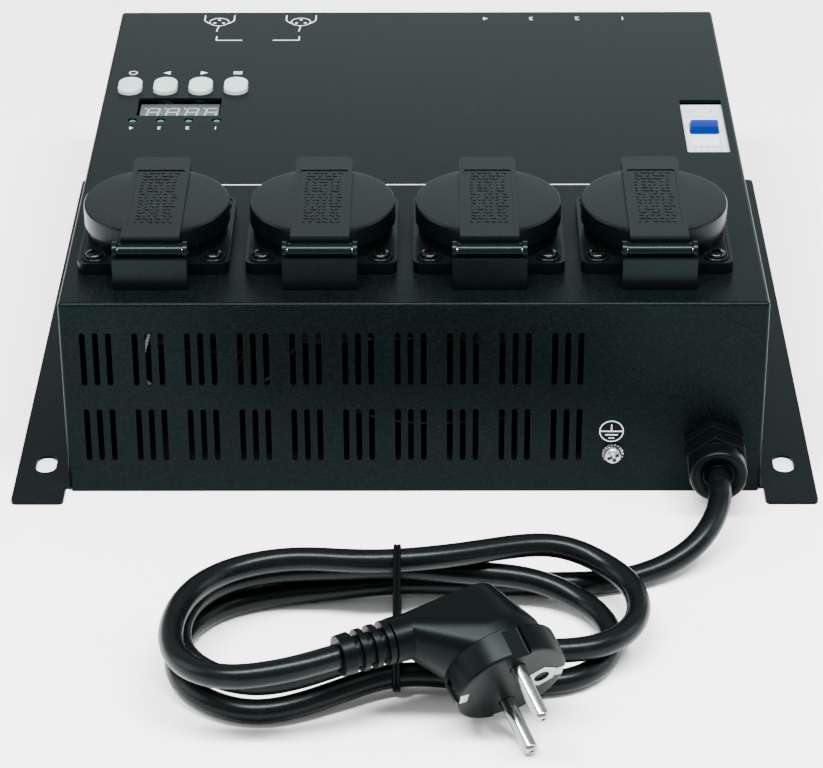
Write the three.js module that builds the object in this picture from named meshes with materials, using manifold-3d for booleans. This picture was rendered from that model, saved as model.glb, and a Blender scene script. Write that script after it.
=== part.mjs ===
// Four-channel dimmer pack: folded steel hood, four lidded panel sockets, keys, display, breaker,
// rear connectors and fuses, and a mains lead tied in a hank. Millimetres, +Z up, front towards -Y.
import * as THREE from 'three';
import { ConvexGeometry } from 'three/addons/geometries/ConvexGeometry.js';
import { mergeVertices } from 'three/addons/utils/BufferGeometryUtils.js';
import Module from 'manifold-3d';

const wasm = await Module();
wasm.setup();

// Shared fits
const clearance = 0.3;
const overrun = 2;
const roundSteps = 20;
const smallSteps = 10;
const arcSteps = 3;
const weld = 1e-4;
const crossLengthShare = 0.62;
const crossWidthShare = 0.17;
const channelCount = 4;

// Driving dimensions
const housing = { width: 240, depth: 252, height: 74, sheet: 1.2, notch: 1.6 };
const flange = { width: 19.5, forward: 9, backInset: 7, cornerRadius: 3 };
const slot = { width: 7.2, length: 11.5, frontInset: 16.5, backInset: 30 };
const vents = {
  slotWidth: 2, slotHeight: 20.5, slotPitch: 4.41, slotCount: 3, groupPitch: 17.8, groupCount: 10,
  leftInset: 6.7, topInset: 11.3, bottomInset: 12.5,
};
const socket = {
  pitch: 57.5, rowOffset: -3, frontInset: 21, flangeSide: 52, flangeThick: 4.2,
  flangeCorner: 3.3, bodyDiameter: 43, bodyDepth: 34, recessDiameter: 39, recessDepth: 17.5,
  rimDiameter: 48.6, contactSpacing: 19, contactHole: 5.6, contactDepth: 12,
  screwSpacing: 40.6, screwHole: 3.4, screwHead: 5.6, screwHeadHeight: 1.9, screwShank: 2.8, screwLength: 9,
};
const bracket = { width: 25.3, reach: 11.4, height: 11.7, wall: 1.6, ear: 1.5, earRadius: 3.2 };
const hinge = { frontInset: 5.6, height: 12.2, pinDiameter: 2.4, barrelDiameter: 5.2 };
const lid = {
  diameter: 50.6, top: 15.7, skirt: 7.5, wall: 1.7, deck: 2.2,
  strapWidth: 20, strapRise: 1.1, strapBeyond: 6.9, strapThick: 2.6, strapSet: 1.6, lipDrop: 3.4,
};
const key = {
  count: 4, pitch: 13.6, lastX: -69.4, fromFront: 176.6, width: 9.4, length: 13.9, proud: 1.8,
  travel: 0.6, collar: 1.1, collarThick: 0.8, stem: 3.2, engage: 1,
};
const display = {
  centreX: -90.05, fromFront: 158.9, windowWidth: 31.7, windowLength: 15.9, width: 30.2, length: 14,
  height: 7.2, sunk: 0.9,
};
const lamp = {
  pitch: 10.6, lastX: -75.1, fromFront: 146.7, diameter: 3, height: 5.3, flangeDiameter: 3.8,
  flangeHeight: 1, sunk: 0.2, lead: 0.5, leadSpacing: 1.27,
};
const controlBoard = {
  width: 54, length: 52, thick: 1.6, fromFront: 164.5, switchSide: 6, switchHeight: 4.2,
  studDiameter: 4.6, studInset: 3.4,
};
const breaker = {
  centreX: 108.55, fromFront: 141.4, windowWidth: 15.7, windowLength: 46.4, width: 17.2, noseLength: 45,
  bodyLength: 82, noseHeight: 16, sunk: 0.5, pivotOffset: -3.4, pivotDepth: 6.4,
};
const lever = { width: 10.4, drumRadius: 5.6, reach: 10.9, thick: 3.6, rest: 35 };
const rail = { width: 35, height: 7.5, thick: 1, crown: 25, length: 19 };
const gland = {
  x: 103.5, z: 17.5, hexAcross: 20, hexThick: 5, shank: 16, shankLength: 10, lockThick: 4, lockAcross: 21,
  reach: 20.5, nutHexLength: 7, nutRadius: 10.2, noseRadius: 6.2, bore: 9.6, seal: 8.6, sealInset: 1,
};
const domeShares = [[0.62, 1], [0.78, 0.93], [0.91, 0.8]];
const earth = {
  x: 68.5, z: 15.6, washer: 7.4, washerThick: 0.7, head: 6.2, headHeight: 2.2, shank: 3.8, hole: 4.4,
  length: 9,
};
const xlr = {
  maleX: -79.7, femaleX: -46.7, z: 40, flangeWidth: 26, flangeHeight: 31, flangeThick: 2, corner: 3,
  body: 23.4, hole: 24, bodyDepth: 24, cup: 19, cupDepth: 15, pin: 2.4, pinCircle: 9.5, pinHeight: 13,
  insert: 18.4, insertProud: 1.2, socketHole: 3, socketDepth: 13, latchWidth: 7, latchHeight: 3,
  latchProud: 3.6, latchDepth: 1.4, latchTravel: 1.2, latchRise: 10.8,
};
const contactAngles = [90, 210, 330];
const fuse = {
  pitch: 18.55, firstX: 27.7, z: 40, bezel: 15, bezelThick: 3, body: 12.2, hole: 12.8, bodyDepth: 32,
  bore: 8, boreDepth: 20, cap: 11, capProud: 7, plug: 7.2, plugLength: 6, slotWidth: 1.4, slotDepth: 1.6,
};
const powerBoard = {
  width: 140, length: 96, thick: 1.6, centreX: 15, fromFront: 142, lift: 6.4, studDiameter: 5, studInset: 6,
  channelPitch: 30,
};
const choke = { diameter: 22, hole: 9, height: 12, fromBack: 28 };
const triac = { width: 10, depth: 4.6, height: 17 };
const capacitor = { diameter: 12, height: 18, fromBoardFront: 22 };
const heatSink = { base: 4, height: 36, fin: 2, finReach: 16, finCount: 12 };
const terminal = {
  width: 30, length: 20, height: 16, centreX: 88, fromFront: 42, ways: 3, hole: 5, screw: 4,
};
const transformer = {
  width: 38, length: 32, height: 33, core: 12, centreX: -88, fromFront: 112, footThick: 1.5, footExtra: 8,
};
const basePlate = { lip: 8 };
const cord = {
  diameter: 7.8, leadSides: 8, hankSides: 6, leadSteps: 12, hankSteps: 76, guideSteps: 10,
  layerGap: 0.8, floorGap: 0.1,
};
const tie = { x: -5, width: 3, thick: 1.4, liftShare: 1.3 };
const plug = {
  faceX: 30.5, faceFromFront: -142.4, faceZ: 18.6, turn: 25.2, lean: -1.4, roll: 114.6,
  diameter: 36.8, rim: 10, edge: 1.2, gripDiameter: 32, backDepth: 33, backDiameter: 17,
  pinDiameter: 4.8, pinLength: 19, pinSpacing: 19, pinRoot: 6, pinTip: 1.4,
  earthOffset: 10, earthHole: 4.9, earthDepth: 14, notchWidth: 6.4, notchDepth: 2.6,
  neckFrom: 26, neckLength: 47, neckDiameter: 14.4, neckReach: 24.6, neckStraight: 5.2,
  reliefDiameter: 9.6, ribDiameter: 14, ribThick: 2.1, ribPitch: 4.2, ribCount: 3, collar: 4.2,
};
const pinTipShares = [[0.8, 0.33], [0.4, 0]];

// Places worked out from the driving dimensions
const halfWidth = housing.width / 2;
const frontReach = gland.reach;
const rearReach = fuse.bezelThick + fuse.capProud;
const originShift = (frontReach - housing.depth - rearReach) / 2;
const socketY = socket.frontInset + socket.flangeSide / 2;
const socketX = (index) => socket.rowOffset + (index - (channelCount - 1) / 2) * socket.pitch;
const bracketFront = socket.frontInset - bracket.reach;
const hingeY = bracketFront + hinge.frontInset;
const hingeZ = housing.height + hinge.height;
const keyX = (index) => key.lastX - (key.count - 1 - index) * key.pitch;
const lampX = (index) => lamp.lastX - (channelCount - 1 - index) * lamp.pitch;
const fuseX = (index) => fuse.firstX + index * fuse.pitch;
const panelUnder = housing.height - housing.sheet;
const displayTop = panelUnder - display.sunk;
const boardTop = displayTop - display.height - clearance;
const breakerTop = panelUnder - breaker.sunk;
const pivotY = breaker.fromFront + breaker.pivotOffset;
const pivotZ = breakerTop - breaker.pivotDepth;
const floorTop = housing.sheet + clearance;

// Materials
const paint = (name, color, roughness, metalness) => {
  const material = new THREE.MeshStandardMaterial({ color, roughness, metalness });
  material.name = name;
  return material;
};
const look = {
  hood: paint('powder_coat', 0x232a2b, 0.62, 0.1),
  zinc: paint('zinc_steel', 0x9ea3a6, 0.45, 0.9),
  socketPlastic: paint('socket_plastic', 0x2a2f31, 0.55, 0),
  keyPlastic: paint('key_plastic', 0xd3dcd8, 0.5, 0),
  nickel: paint('nickel', 0xc9cbcb, 0.22, 1),
  darkScrew: paint('black_screw', 0x25282a, 0.35, 0.8),
  board: paint('circuit_board', 0x1f4a34, 0.5, 0),
  displayBody: paint('display_face', 0x8b9493, 0.35, 0),
  lampGreen: paint('lamp_green', 0x1d8a6c, 0.2, 0),
  breakerWhite: paint('breaker_white', 0xdfe3e0, 0.45, 0),
  leverBlue: paint('lever_blue', 0x2f7ea8, 0.4, 0),
  glandBlack: paint('gland_nylon', 0x15181a, 0.45, 0),
  cordBlack: paint('cord_sheath', 0x14171a, 0.42, 0),
  aluminium: paint('aluminium', 0xaeb2b4, 0.4, 0.9),
  copper: paint('transformer_core', 0x6b5a44, 0.5, 0.4),
  terminalGrey: paint('terminal_plastic', 0xd9d6c8, 0.5, 0),
};

// Solids from closed geometry, and geometry from solids
function toSolid(geometry) {
  const plain = geometry.clone();
  plain.deleteAttribute('normal');
  plain.deleteAttribute('uv');
  const merged = mergeVertices(plain, weld);
  const index = merged.index.array;
  const faces = [];
  for (let i = 0; i < index.length; i += 3) {
    const [a, b, c] = [index[i], index[i + 1], index[i + 2]];
    if (a !== b && b !== c && c !== a) faces.push(a, b, c);
  }
  const vertProperties = Float32Array.from(merged.attributes.position.array);
  return new wasm.Manifold(new wasm.Mesh({ numProp: 3, vertProperties, triVerts: Uint32Array.from(faces) }));
}

function toGeometry(solid) {
  const mesh = solid.getMesh();
  const geometry = new THREE.BufferGeometry();
  geometry.setAttribute('position', new THREE.BufferAttribute(Float32Array.from(mesh.vertProperties), 3));
  geometry.setIndex(new THREE.BufferAttribute(Uint32Array.from(mesh.triVerts), 1));
  geometry.computeVertexNormals();
  return geometry;
}

function join(...geometries) {
  return geometries.map(asSolid).reduce((whole, piece) => whole.add(piece));
}

function cut(whole, ...geometries) {
  return geometries.map(asSolid).reduce((rest, piece) => rest.subtract(piece), asSolid(whole));
}

function asSolid(shape) {
  return shape.isBufferGeometry ? toSolid(shape) : shape;
}

// Block standing on z, centred on x and y
function block(width, length, height, x, y, z) {
  return new THREE.BoxGeometry(width, length, height).translate(x, y, z + height / 2);
}

// Cylinder standing on z
function post(diameter, height, x, y, z, sides = roundSteps) {
  const geometry = new THREE.CylinderGeometry(diameter / 2, diameter / 2, height, sides);
  return geometry.rotateX(Math.PI / 2).translate(x, y, z + height / 2);
}

// Cylinder along Y, from y towards +Y
function rod(diameter, length, x, y, z, sides = roundSteps) {
  const geometry = new THREE.CylinderGeometry(diameter / 2, diameter / 2, length, sides);
  return geometry.translate(x, y + length / 2, z);
}

// Cylinder along X, centred on x
function bar(diameter, length, x, y, z, sides = smallSteps) {
  const geometry = new THREE.CylinderGeometry(diameter / 2, diameter / 2, length, sides);
  return geometry.rotateZ(Math.PI / 2).translate(x, y, z);
}

// Outline with rounded corners, centred on the origin
function roundedOutline(width, length, radius, steps = arcSteps) {
  const points = [];
  const corners = [[1, 1, 0], [-1, 1, 1], [-1, -1, 2], [1, -1, 3]];
  for (const [sideX, sideY, quarter] of corners) {
    const centreX = sideX * (width / 2 - radius);
    const centreY = sideY * (length / 2 - radius);
    for (let step = 0; step <= steps; step += 1) {
      const angle = (quarter + step / steps) * Math.PI / 2;
      points.push(new THREE.Vector2(centreX + radius * Math.cos(angle), centreY + radius * Math.sin(angle)));
    }
  }
  return new THREE.Shape(points);
}

// Outline with half-round ends along its longer side
function obroundOutline(width, length, steps = arcSteps) {
  const radius = Math.min(width, length) / 2;
  const reachX = width / 2 - radius;
  const reachY = length / 2 - radius;
  const start = width > length ? -Math.PI / 2 : 0;
  const points = [];
  for (const side of [1, -1]) {
    for (let step = 0; step <= 2 * steps; step += 1) {
      const angle = start + (side > 0 ? 0 : Math.PI) + step / (2 * steps) * Math.PI;
      const across = side * reachX + radius * Math.cos(angle);
      points.push(new THREE.Vector2(across, side * reachY + radius * Math.sin(angle)));
    }
  }
  return new THREE.Shape(points);
}

function prism(shape, height, x, y, z) {
  return new THREE.ExtrudeGeometry(shape, { depth: height, bevelEnabled: false }).translate(x, y, z);
}

// Prism pushed through a wall that faces the viewer
function wallPrism(shape, depth, x, y, z) {
  const geometry = new THREE.ExtrudeGeometry(shape, { depth, bevelEnabled: false });
  return geometry.rotateX(Math.PI / 2).translate(x, y + depth, z);
}

// Prism along X from an outline in the YZ plane, centred on x
function sidePrism(points, width, x, y, z) {
  const shape = new THREE.Shape(points.map(([along, up]) => new THREE.Vector2(along, up)));
  const geometry = new THREE.ExtrudeGeometry(shape, { depth: width, bevelEnabled: false });
  return geometry.translate(0, 0, -width / 2).rotateY(Math.PI / 2).rotateX(Math.PI / 2).translate(x, y, z);
}

function hexagon(across) {
  const radius = across / Math.sqrt(3);
  const points = [];
  for (let corner = 0; corner < 6; corner += 1) {
    const angle = (corner + 0.5) * Math.PI / 3;
    points.push(new THREE.Vector2(radius * Math.cos(angle), radius * Math.sin(angle)));
  }
  return new THREE.Shape(points);
}

// Assembly: the inner group carries the pack's own frame, with its front face at y = 0
const pack = new THREE.Group();
const frame = new THREE.Group();
frame.position.set(0, originShift, 0);
pack.add(frame);

function place(name, shape, material, parent = frame) {
  const mesh = new THREE.Mesh(toGeometry(asSolid(shape)), material);
  mesh.name = name;
  parent.add(mesh);
  return mesh;
}

// Cover
function buildCover() {
  const { width, depth, height, sheet } = housing;
  const outer = block(width, depth, height, 0, depth / 2, 0);
  const inner = block(width - 2 * sheet, depth - 2 * sheet, height - sheet + overrun, 0, depth / 2, -overrun);
  let hood = cut(outer, inner);
  const flangeLength = depth - flange.backInset + flange.forward;
  const flangeMiddle = flangeLength / 2 - flange.forward;
  const lap = sheet;
  for (const side of [1, -1]) {
    const plate = roundedOutline(flange.width + lap, flangeLength, flange.cornerRadius);
    const centre = side * (halfWidth + (flange.width - lap) / 2);
    hood = hood.add(toSolid(prism(plate, sheet, centre, flangeMiddle, 0)));
    const slotShape = obroundOutline(slot.width, slot.length);
    const slotX = side * (halfWidth + flange.width / 2);
    for (const slotY of [slot.frontInset, depth - slot.backInset]) {
      hood = hood.subtract(toSolid(prism(slotShape, sheet + 2 * overrun, slotX, slotY, -overrun)));
    }
    const notchSide = 2 * housing.notch;
    for (const cornerY of [0, depth]) {
      const notch = block(notchSide, notchSide, 2 * sheet, side * halfWidth, cornerY, height - sheet);
      hood = hood.subtract(toSolid(notch));
    }
  }
  return ventCuts(panelCuts(wallCuts(hood)));
}

function ventCuts(hood) {
  const shape = obroundOutline(vents.slotWidth, vents.slotHeight, 1);
  const rows = [
    housing.height - vents.topInset - vents.slotHeight / 2,
    vents.bottomInset + vents.slotHeight / 2,
  ];
  const firstX = -halfWidth + vents.leftInset + vents.slotWidth / 2;
  let rest = hood;
  for (const rowZ of rows) {
    for (let group = 0; group < vents.groupCount; group += 1) {
      for (let index = 0; index < vents.slotCount; index += 1) {
        const x = firstX + group * vents.groupPitch + index * vents.slotPitch;
        rest = rest.subtract(toSolid(wallPrism(shape, housing.sheet + 2 * overrun, x, -overrun, rowZ)));
      }
    }
  }
  return rest;
}

function panelCuts(hood) {
  const through = housing.sheet + 2 * overrun;
  const low = panelUnder - overrun;
  let rest = hood;
  for (let index = 0; index < channelCount; index += 1) {
    const bodyHole = post(socket.bodyDiameter + 2 * clearance, through, socketX(index), socketY, low);
    rest = rest.subtract(toSolid(bodyHole));
    for (const sideX of [1, -1]) {
      for (const sideY of [1, -1]) {
        const x = socketX(index) + sideX * socket.screwSpacing / 2;
        const y = socketY + sideY * socket.screwSpacing / 2;
        rest = rest.subtract(toSolid(post(socket.screwHole, through, x, y, low, arcSteps * 2)));
      }
    }
  }
  const keyHole = obroundOutline(key.width + 2 * clearance, key.length + 2 * clearance);
  for (let index = 0; index < key.count; index += 1) {
    rest = rest.subtract(toSolid(prism(keyHole, through, keyX(index), key.fromFront, low)));
  }
  for (let index = 0; index < channelCount; index += 1) {
    const hole = post(lamp.diameter + 2 * clearance, through, lampX(index), lamp.fromFront, low, smallSteps);
    rest = rest.subtract(toSolid(hole));
  }
  const windows = [display, breaker].map((piece) => (
    block(piece.windowWidth, piece.windowLength, through, piece.centreX, piece.fromFront, low)
  ));
  return cut(rest, ...windows);
}

function wallCuts(hood) {
  const through = housing.sheet + 2 * overrun;
  const rear = housing.depth - housing.sheet - overrun;
  const cuts = [
    rod(gland.shank + 2 * clearance, through, gland.x, -overrun, gland.z),
    rod(earth.hole, through, earth.x, -overrun, earth.z, smallSteps),
    rod(xlr.hole, through, xlr.maleX, rear, xlr.z),
    rod(xlr.hole, through, xlr.femaleX, rear, xlr.z),
  ];
  for (let index = 0; index < channelCount; index += 1) {
    cuts.push(rod(fuse.hole, through, fuseX(index), rear, fuse.z));
  }
  return cut(hood, ...cuts);
}

// Base plate
function buildBasePlate() {
  const width = housing.width - 2 * housing.sheet - 2 * clearance;
  const length = housing.depth - 2 * housing.sheet - 2 * clearance;
  const middle = housing.depth / 2;
  const plate = block(width, length, housing.sheet, 0, middle, 0);
  const lipWidth = width - 2 * housing.sheet;
  const lips = [-1, 1].map((side) => {
    const y = middle + side * (length - housing.sheet) / 2;
    return block(lipWidth, housing.sheet, basePlate.lip, 0, y, 0);
  });
  const glandRoom = gland.lockAcross + 2 * gland.lockThick;
  const roomY = housing.sheet + clearance;
  const relief = block(glandRoom, 2 * gland.lockThick, basePlate.lip, gland.x, roomY, housing.sheet);
  return cut(join(plate, ...lips), relief);
}

// Sockets
function buildSocketBody(index) {
  const x = socketX(index);
  const seat = housing.height + clearance;
  const plateTop = housing.height + socket.flangeThick;
  const plate = prism(
    roundedOutline(socket.flangeSide, socket.flangeSide, socket.flangeCorner),
    socket.flangeThick - clearance, x, socketY, seat,
  );
  const rimTop = housing.height + lid.top - lid.skirt - clearance;
  const rim = post(socket.rimDiameter, rimTop - seat, x, socketY, seat);
  const barrel = post(socket.bodyDiameter, socket.bodyDepth, x, socketY, plateTop - socket.bodyDepth);
  const blockTop = hingeZ - hinge.barrelDiameter / 2 - clearance;
  const blockLength = socketY - lid.diameter / 2 - clearance - bracketFront;
  const blockY = bracketFront + blockLength / 2;
  const hingeBlock = block(bracket.width, blockLength, blockTop - seat, x, blockY, seat);
  const footLength = bracket.reach + socket.flangeCorner;
  const foot = block(bracket.width, footLength, plateTop - seat, x, bracketFront + footLength / 2, seat);
  const frontY = bracketFront + bracket.wall / 2;
  const front = block(bracket.width, bracket.wall, bracket.height - clearance, x, frontY, seat);
  const ears = [-1, 1].map((side) => {
    const earX = x + side * (bracket.width - bracket.ear) / 2;
    const round = bar(2 * bracket.earRadius, bracket.ear, earX, hingeY, hingeZ);
    const web = block(bracket.ear, 2 * bracket.earRadius, hingeZ - seat, earX, hingeY, seat);
    return join(round, web);
  });
  let body = join(plate, rim, barrel, hingeBlock, foot, front, ...ears);
  const recessLow = plateTop - socket.recessDepth;
  const recess = post(socket.recessDiameter, socket.recessDepth + overrun, x, socketY, recessLow);
  const rimBore = post(socket.recessDiameter, rimTop - plateTop + overrun, x, socketY, plateTop);
  const pinBore = bar(hinge.pinDiameter + 2 * clearance, bracket.width + overrun, x, hingeY, hingeZ);
  body = cut(body, recess, rimBore, pinBore);
  for (const side of [1, -1]) {
    const low = recessLow - socket.contactDepth;
    const contactX = x + side * socket.contactSpacing / 2;
    const depth = socket.contactDepth + overrun;
    const contact = post(socket.contactHole, depth, contactX, socketY, low, smallSteps);
    body = body.subtract(toSolid(contact));
    for (const sideY of [1, -1]) {
      const screwX = x + side * socket.screwSpacing / 2;
      const screwY = socketY + sideY * socket.screwSpacing / 2;
      const holeDepth = socket.flangeThick + 2 * overrun;
      const hole = post(socket.screwHole, holeDepth, screwX, screwY, housing.height - overrun, arcSteps * 2);
      body = body.subtract(toSolid(hole));
    }
  }
  return body;
}

function buildLid(index) {
  const x = socketX(index);
  const top = housing.height + lid.top;
  const disc = post(lid.diameter, lid.skirt, x, socketY, top - lid.skirt);
  const hollowDepth = lid.skirt - lid.deck + overrun;
  const hollow = post(lid.diameter - 2 * lid.wall, hollowDepth, x, socketY, top - lid.skirt - overrun);
  const shell = cut(disc, hollow);
  const radius = lid.diameter / 2;
  const strapTop = top + lid.strapRise;
  const strapBack = socketY + radius + lid.strapBeyond;
  const strapFront = hingeY + lid.strapSet;
  const strapY = (strapBack + strapFront) / 2;
  const strapLow = strapTop - lid.strapThick;
  const strap = block(lid.strapWidth, strapBack - strapFront, lid.strapThick, x, strapY, strapLow);
  const lipHeight = lid.lipDrop + lid.strapThick;
  const lip = block(lid.strapWidth, lid.deck, lipHeight, x, strapBack - lid.deck / 2, strapTop - lipHeight);
  const barrelWidth = bracket.width - 2 * bracket.ear - 2 * clearance;
  const barrel = bar(hinge.barrelDiameter, barrelWidth, x, hingeY, hingeZ);
  const neckLength = socketY - radius + lid.wall - strapFront;
  const neckLow = hingeZ - hinge.barrelDiameter / 4;
  const neckY = strapFront + neckLength / 2;
  const neck = block(lid.strapWidth, neckLength, strapTop - neckLow, x, neckY, neckLow);
  const pinBore = bar(hinge.pinDiameter + 2 * clearance, barrelWidth + 2 * overrun, x, hingeY, hingeZ);
  return cut(join(shell, strap, lip, barrel, neck), pinBore);
}

function buildLidPin(index) {
  return bar(hinge.pinDiameter, bracket.width - clearance, socketX(index), hingeY, hingeZ);
}

function buildSocketScrew(x, y) {
  const under = housing.height + socket.flangeThick + clearance;
  const head = post(socket.screwHead, socket.screwHeadHeight, x, y, under, smallSteps);
  const shankLow = under - socket.screwLength + clearance;
  const shank = post(socket.screwShank, socket.screwLength, x, y, shankLow, arcSteps * 2);
  const slotLength = socket.screwHead * crossLengthShare;
  const slotWidth = socket.screwHead * crossWidthShare;
  const slotZ = under + socket.screwHeadHeight / 2;
  const slotA = block(slotLength, slotWidth, socket.screwHeadHeight, x, y, slotZ);
  const slotB = block(slotWidth, slotLength, socket.screwHeadHeight, x, y, slotZ);
  return cut(join(head, shank), slotA, slotB);
}

// Keys, display and lamps
function buildKey(index) {
  const x = keyX(index);
  const capTop = housing.height + key.proud;
  const collarTop = panelUnder - clearance;
  const collarLow = collarTop - key.collarThick;
  const cap = prism(obroundOutline(key.width, key.length), capTop - collarLow, x, key.fromFront, collarLow);
  const collarShape = obroundOutline(key.width + 2 * key.collar, key.length + 2 * key.collar);
  const collar = prism(collarShape, key.collarThick, x, key.fromFront, collarLow);
  const switchTop = boardTop + controlBoard.switchHeight;
  const stemLow = switchTop - key.engage;
  const stem = post(key.stem, collarLow - stemLow, x, key.fromFront, stemLow, smallSteps);
  return join(cap, collar, stem);
}

function buildControlBoard() {
  const plate = block(
    controlBoard.width, controlBoard.length, controlBoard.thick,
    display.centreX, controlBoard.fromFront, boardTop - controlBoard.thick,
  );
  let board = toSolid(plate);
  const boardLow = boardTop - controlBoard.thick;
  const studHeight = panelUnder - clearance - boardLow;
  for (const sideX of [1, -1]) {
    for (const sideY of [1, -1]) {
      const x = display.centreX + sideX * (controlBoard.width / 2 - controlBoard.studInset);
      const y = controlBoard.fromFront + sideY * (controlBoard.length / 2 - controlBoard.studInset);
      board = board.add(toSolid(post(controlBoard.studDiameter, studHeight, x, y, boardLow, arcSteps * 2)));
    }
  }
  for (let index = 0; index < key.count; index += 1) {
    const side = controlBoard.switchSide;
    const height = controlBoard.switchHeight + controlBoard.thick;
    const body = block(side, side, height, keyX(index), key.fromFront, boardLow);
    const wellDepth = key.engage + key.travel + clearance;
    const wellLow = boardLow + height - wellDepth;
    const well = post(
      key.stem + 2 * clearance, wellDepth + overrun, keyX(index), key.fromFront, wellLow, smallSteps,
    );
    board = board.add(toSolid(body)).subtract(toSolid(well));
  }
  return board;
}

function buildDisplay() {
  const low = displayTop - display.height;
  return block(display.width, display.length, display.height, display.centreX, display.fromFront, low);
}

function buildLamp(index) {
  const x = lampX(index);
  const top = housing.height - lamp.sunk;
  const radius = lamp.diameter / 2;
  const low = top - lamp.height;
  const dome = new THREE.SphereGeometry(radius, smallSteps, smallSteps / 2);
  dome.rotateX(Math.PI / 2).translate(x, lamp.fromFront, top - radius);
  const body = post(lamp.diameter, lamp.height - radius, x, lamp.fromFront, low, smallSteps);
  const foot = post(lamp.flangeDiameter, lamp.flangeHeight, x, lamp.fromFront, low, smallSteps);
  const leads = [-1, 1].map((side) => {
    const leadX = x + side * lamp.leadSpacing;
    return block(lamp.lead, lamp.lead, low - boardTop, leadX, lamp.fromFront, boardTop + clearance);
  });
  return join(body, dome, foot, ...leads);
}

// Breaker
function buildBreakerBody() {
  const low = floorTop + rail.height + clearance;
  const total = breakerTop - low;
  const shoulder = total - breaker.noseHeight;
  const half = breaker.bodyLength / 2;
  const nose = breaker.noseLength / 2;
  const points = [
    [-half, 0], [half, 0], [half, shoulder], [nose, shoulder], [nose, total], [-nose, total],
    [-nose, shoulder], [-half, shoulder],
  ];
  const body = sidePrism(points, breaker.width, breaker.centreX, breaker.fromFront, low);
  const drumWidth = lever.width + 2 * clearance;
  const drumRoom = bar(
    2 * lever.drumRadius + 2 * clearance, drumWidth, breaker.centreX, pivotY, pivotZ, roundSteps,
  );
  const mouthHeight = breakerTop - pivotZ + overrun;
  const swing = lever.reach * Math.sin(THREE.MathUtils.degToRad(lever.rest)) + lever.thick;
  const mouthLow = breakerTop - breaker.pivotDepth / 2;
  const mouth = block(drumWidth, 2 * swing, mouthHeight, breaker.centreX, pivotY, mouthLow);
  return cut(body, drumRoom, mouth);
}

function buildLever() {
  const drum = bar(2 * lever.drumRadius, lever.width, 0, 0, 0, roundSteps);
  const paddleShape = new THREE.Shape([
    new THREE.Vector2(-lever.thick / 2, 0),
    new THREE.Vector2(lever.thick / 2, 0),
    new THREE.Vector2(lever.thick / 2, lever.reach),
    new THREE.Vector2(-lever.thick / 2, lever.reach),
  ]);
  const paddle = new THREE.ExtrudeGeometry(paddleShape, { depth: lever.width, bevelEnabled: false });
  paddle.translate(0, 0, -lever.width / 2).rotateY(Math.PI / 2).rotateX(Math.PI / 2);
  return join(drum, paddle);
}

function buildRail() {
  const half = rail.width / 2;
  const crown = rail.crown / 2;
  const { height, thick } = rail;
  const points = [
    [-crown, 0], [crown, 0], [crown, height - thick], [half, height - thick], [half, height],
    [crown - thick, height], [crown - thick, thick], [-crown + thick, thick], [-crown + thick, height],
    [-half, height], [-half, height - thick], [-crown, height - thick],
  ];
  return sidePrism(points, rail.length, breaker.centreX, breaker.fromFront, floorTop);
}

// Gland and earth screw
function buildGlandBody() {
  const outline = hexagon(gland.hexAcross);
  const hex = wallPrism(outline, gland.hexThick - clearance, gland.x, -gland.hexThick, gland.z);
  const shank = rod(gland.shank, gland.shankLength + gland.hexThick, gland.x, -gland.hexThick, gland.z);
  const coreLength = gland.reach - gland.sealInset;
  const core = rod(gland.seal, coreLength, gland.x, -coreLength, gland.z, smallSteps);
  return join(hex, shank, core);
}

function buildGlandNut() {
  const backY = -gland.hexThick - clearance;
  const length = gland.reach - gland.hexThick - clearance;
  const dome = domeShares.map(([along, across]) => [gland.nutRadius * across, length * along]);
  const profile = [
    [gland.bore / 2, 0], [gland.nutRadius, 0], ...dome, [gland.noseRadius, length],
    [gland.bore / 2, length], [gland.bore / 2, 0],
  ].map(([radius, along]) => new THREE.Vector2(radius, along));
  const nut = new THREE.LatheGeometry(profile, roundSteps);
  nut.rotateZ(Math.PI).translate(gland.x, backY, gland.z);
  const hexY = backY - gland.nutHexLength;
  const hex = wallPrism(hexagon(gland.hexAcross), gland.nutHexLength, gland.x, hexY, gland.z);
  const bore = rod(gland.bore, length + 2 * overrun, gland.x, backY - length - overrun, gland.z);
  return cut(join(nut, hex), bore);
}

function buildGlandLocknut() {
  const y = housing.sheet + clearance;
  const hex = wallPrism(hexagon(gland.lockAcross), gland.lockThick, gland.x, y, gland.z);
  const boreLength = gland.lockThick + 2 * overrun;
  return cut(hex, rod(gland.shank + 2 * clearance, boreLength, gland.x, y - overrun, gland.z));
}

function buildEarthScrew() {
  const washer = rod(earth.washer, earth.washerThick, earth.x, -earth.washerThick - clearance, earth.z);
  const headY = -earth.washerThick - clearance - earth.headHeight;
  const head = rod(earth.head, earth.headHeight, earth.x, headY, earth.z, smallSteps);
  const shank = rod(earth.shank, earth.length + earth.headHeight, earth.x, headY, earth.z, smallSteps);
  const slotLength = earth.head * crossLengthShare;
  const slotWidth = earth.head * crossWidthShare;
  const depth = earth.headHeight / 2;
  const slotA = block(slotLength, 2 * depth, slotWidth, earth.x, headY, earth.z - slotWidth / 2);
  const slotB = block(slotWidth, 2 * depth, slotLength, earth.x, headY, earth.z - slotLength / 2);
  return cut(join(washer, head, shank), slotA, slotB);
}

// Rear connectors and fuses
function buildXlrShell(x) {
  const seatY = housing.depth + clearance;
  const outline = roundedOutline(xlr.flangeWidth, xlr.flangeHeight, xlr.corner);
  const plate = wallPrism(outline, xlr.flangeThick - clearance, x, seatY, xlr.z);
  const body = rod(xlr.body, xlr.bodyDepth + xlr.flangeThick, x, housing.depth - xlr.bodyDepth, xlr.z);
  return join(plate, body);
}

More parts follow.
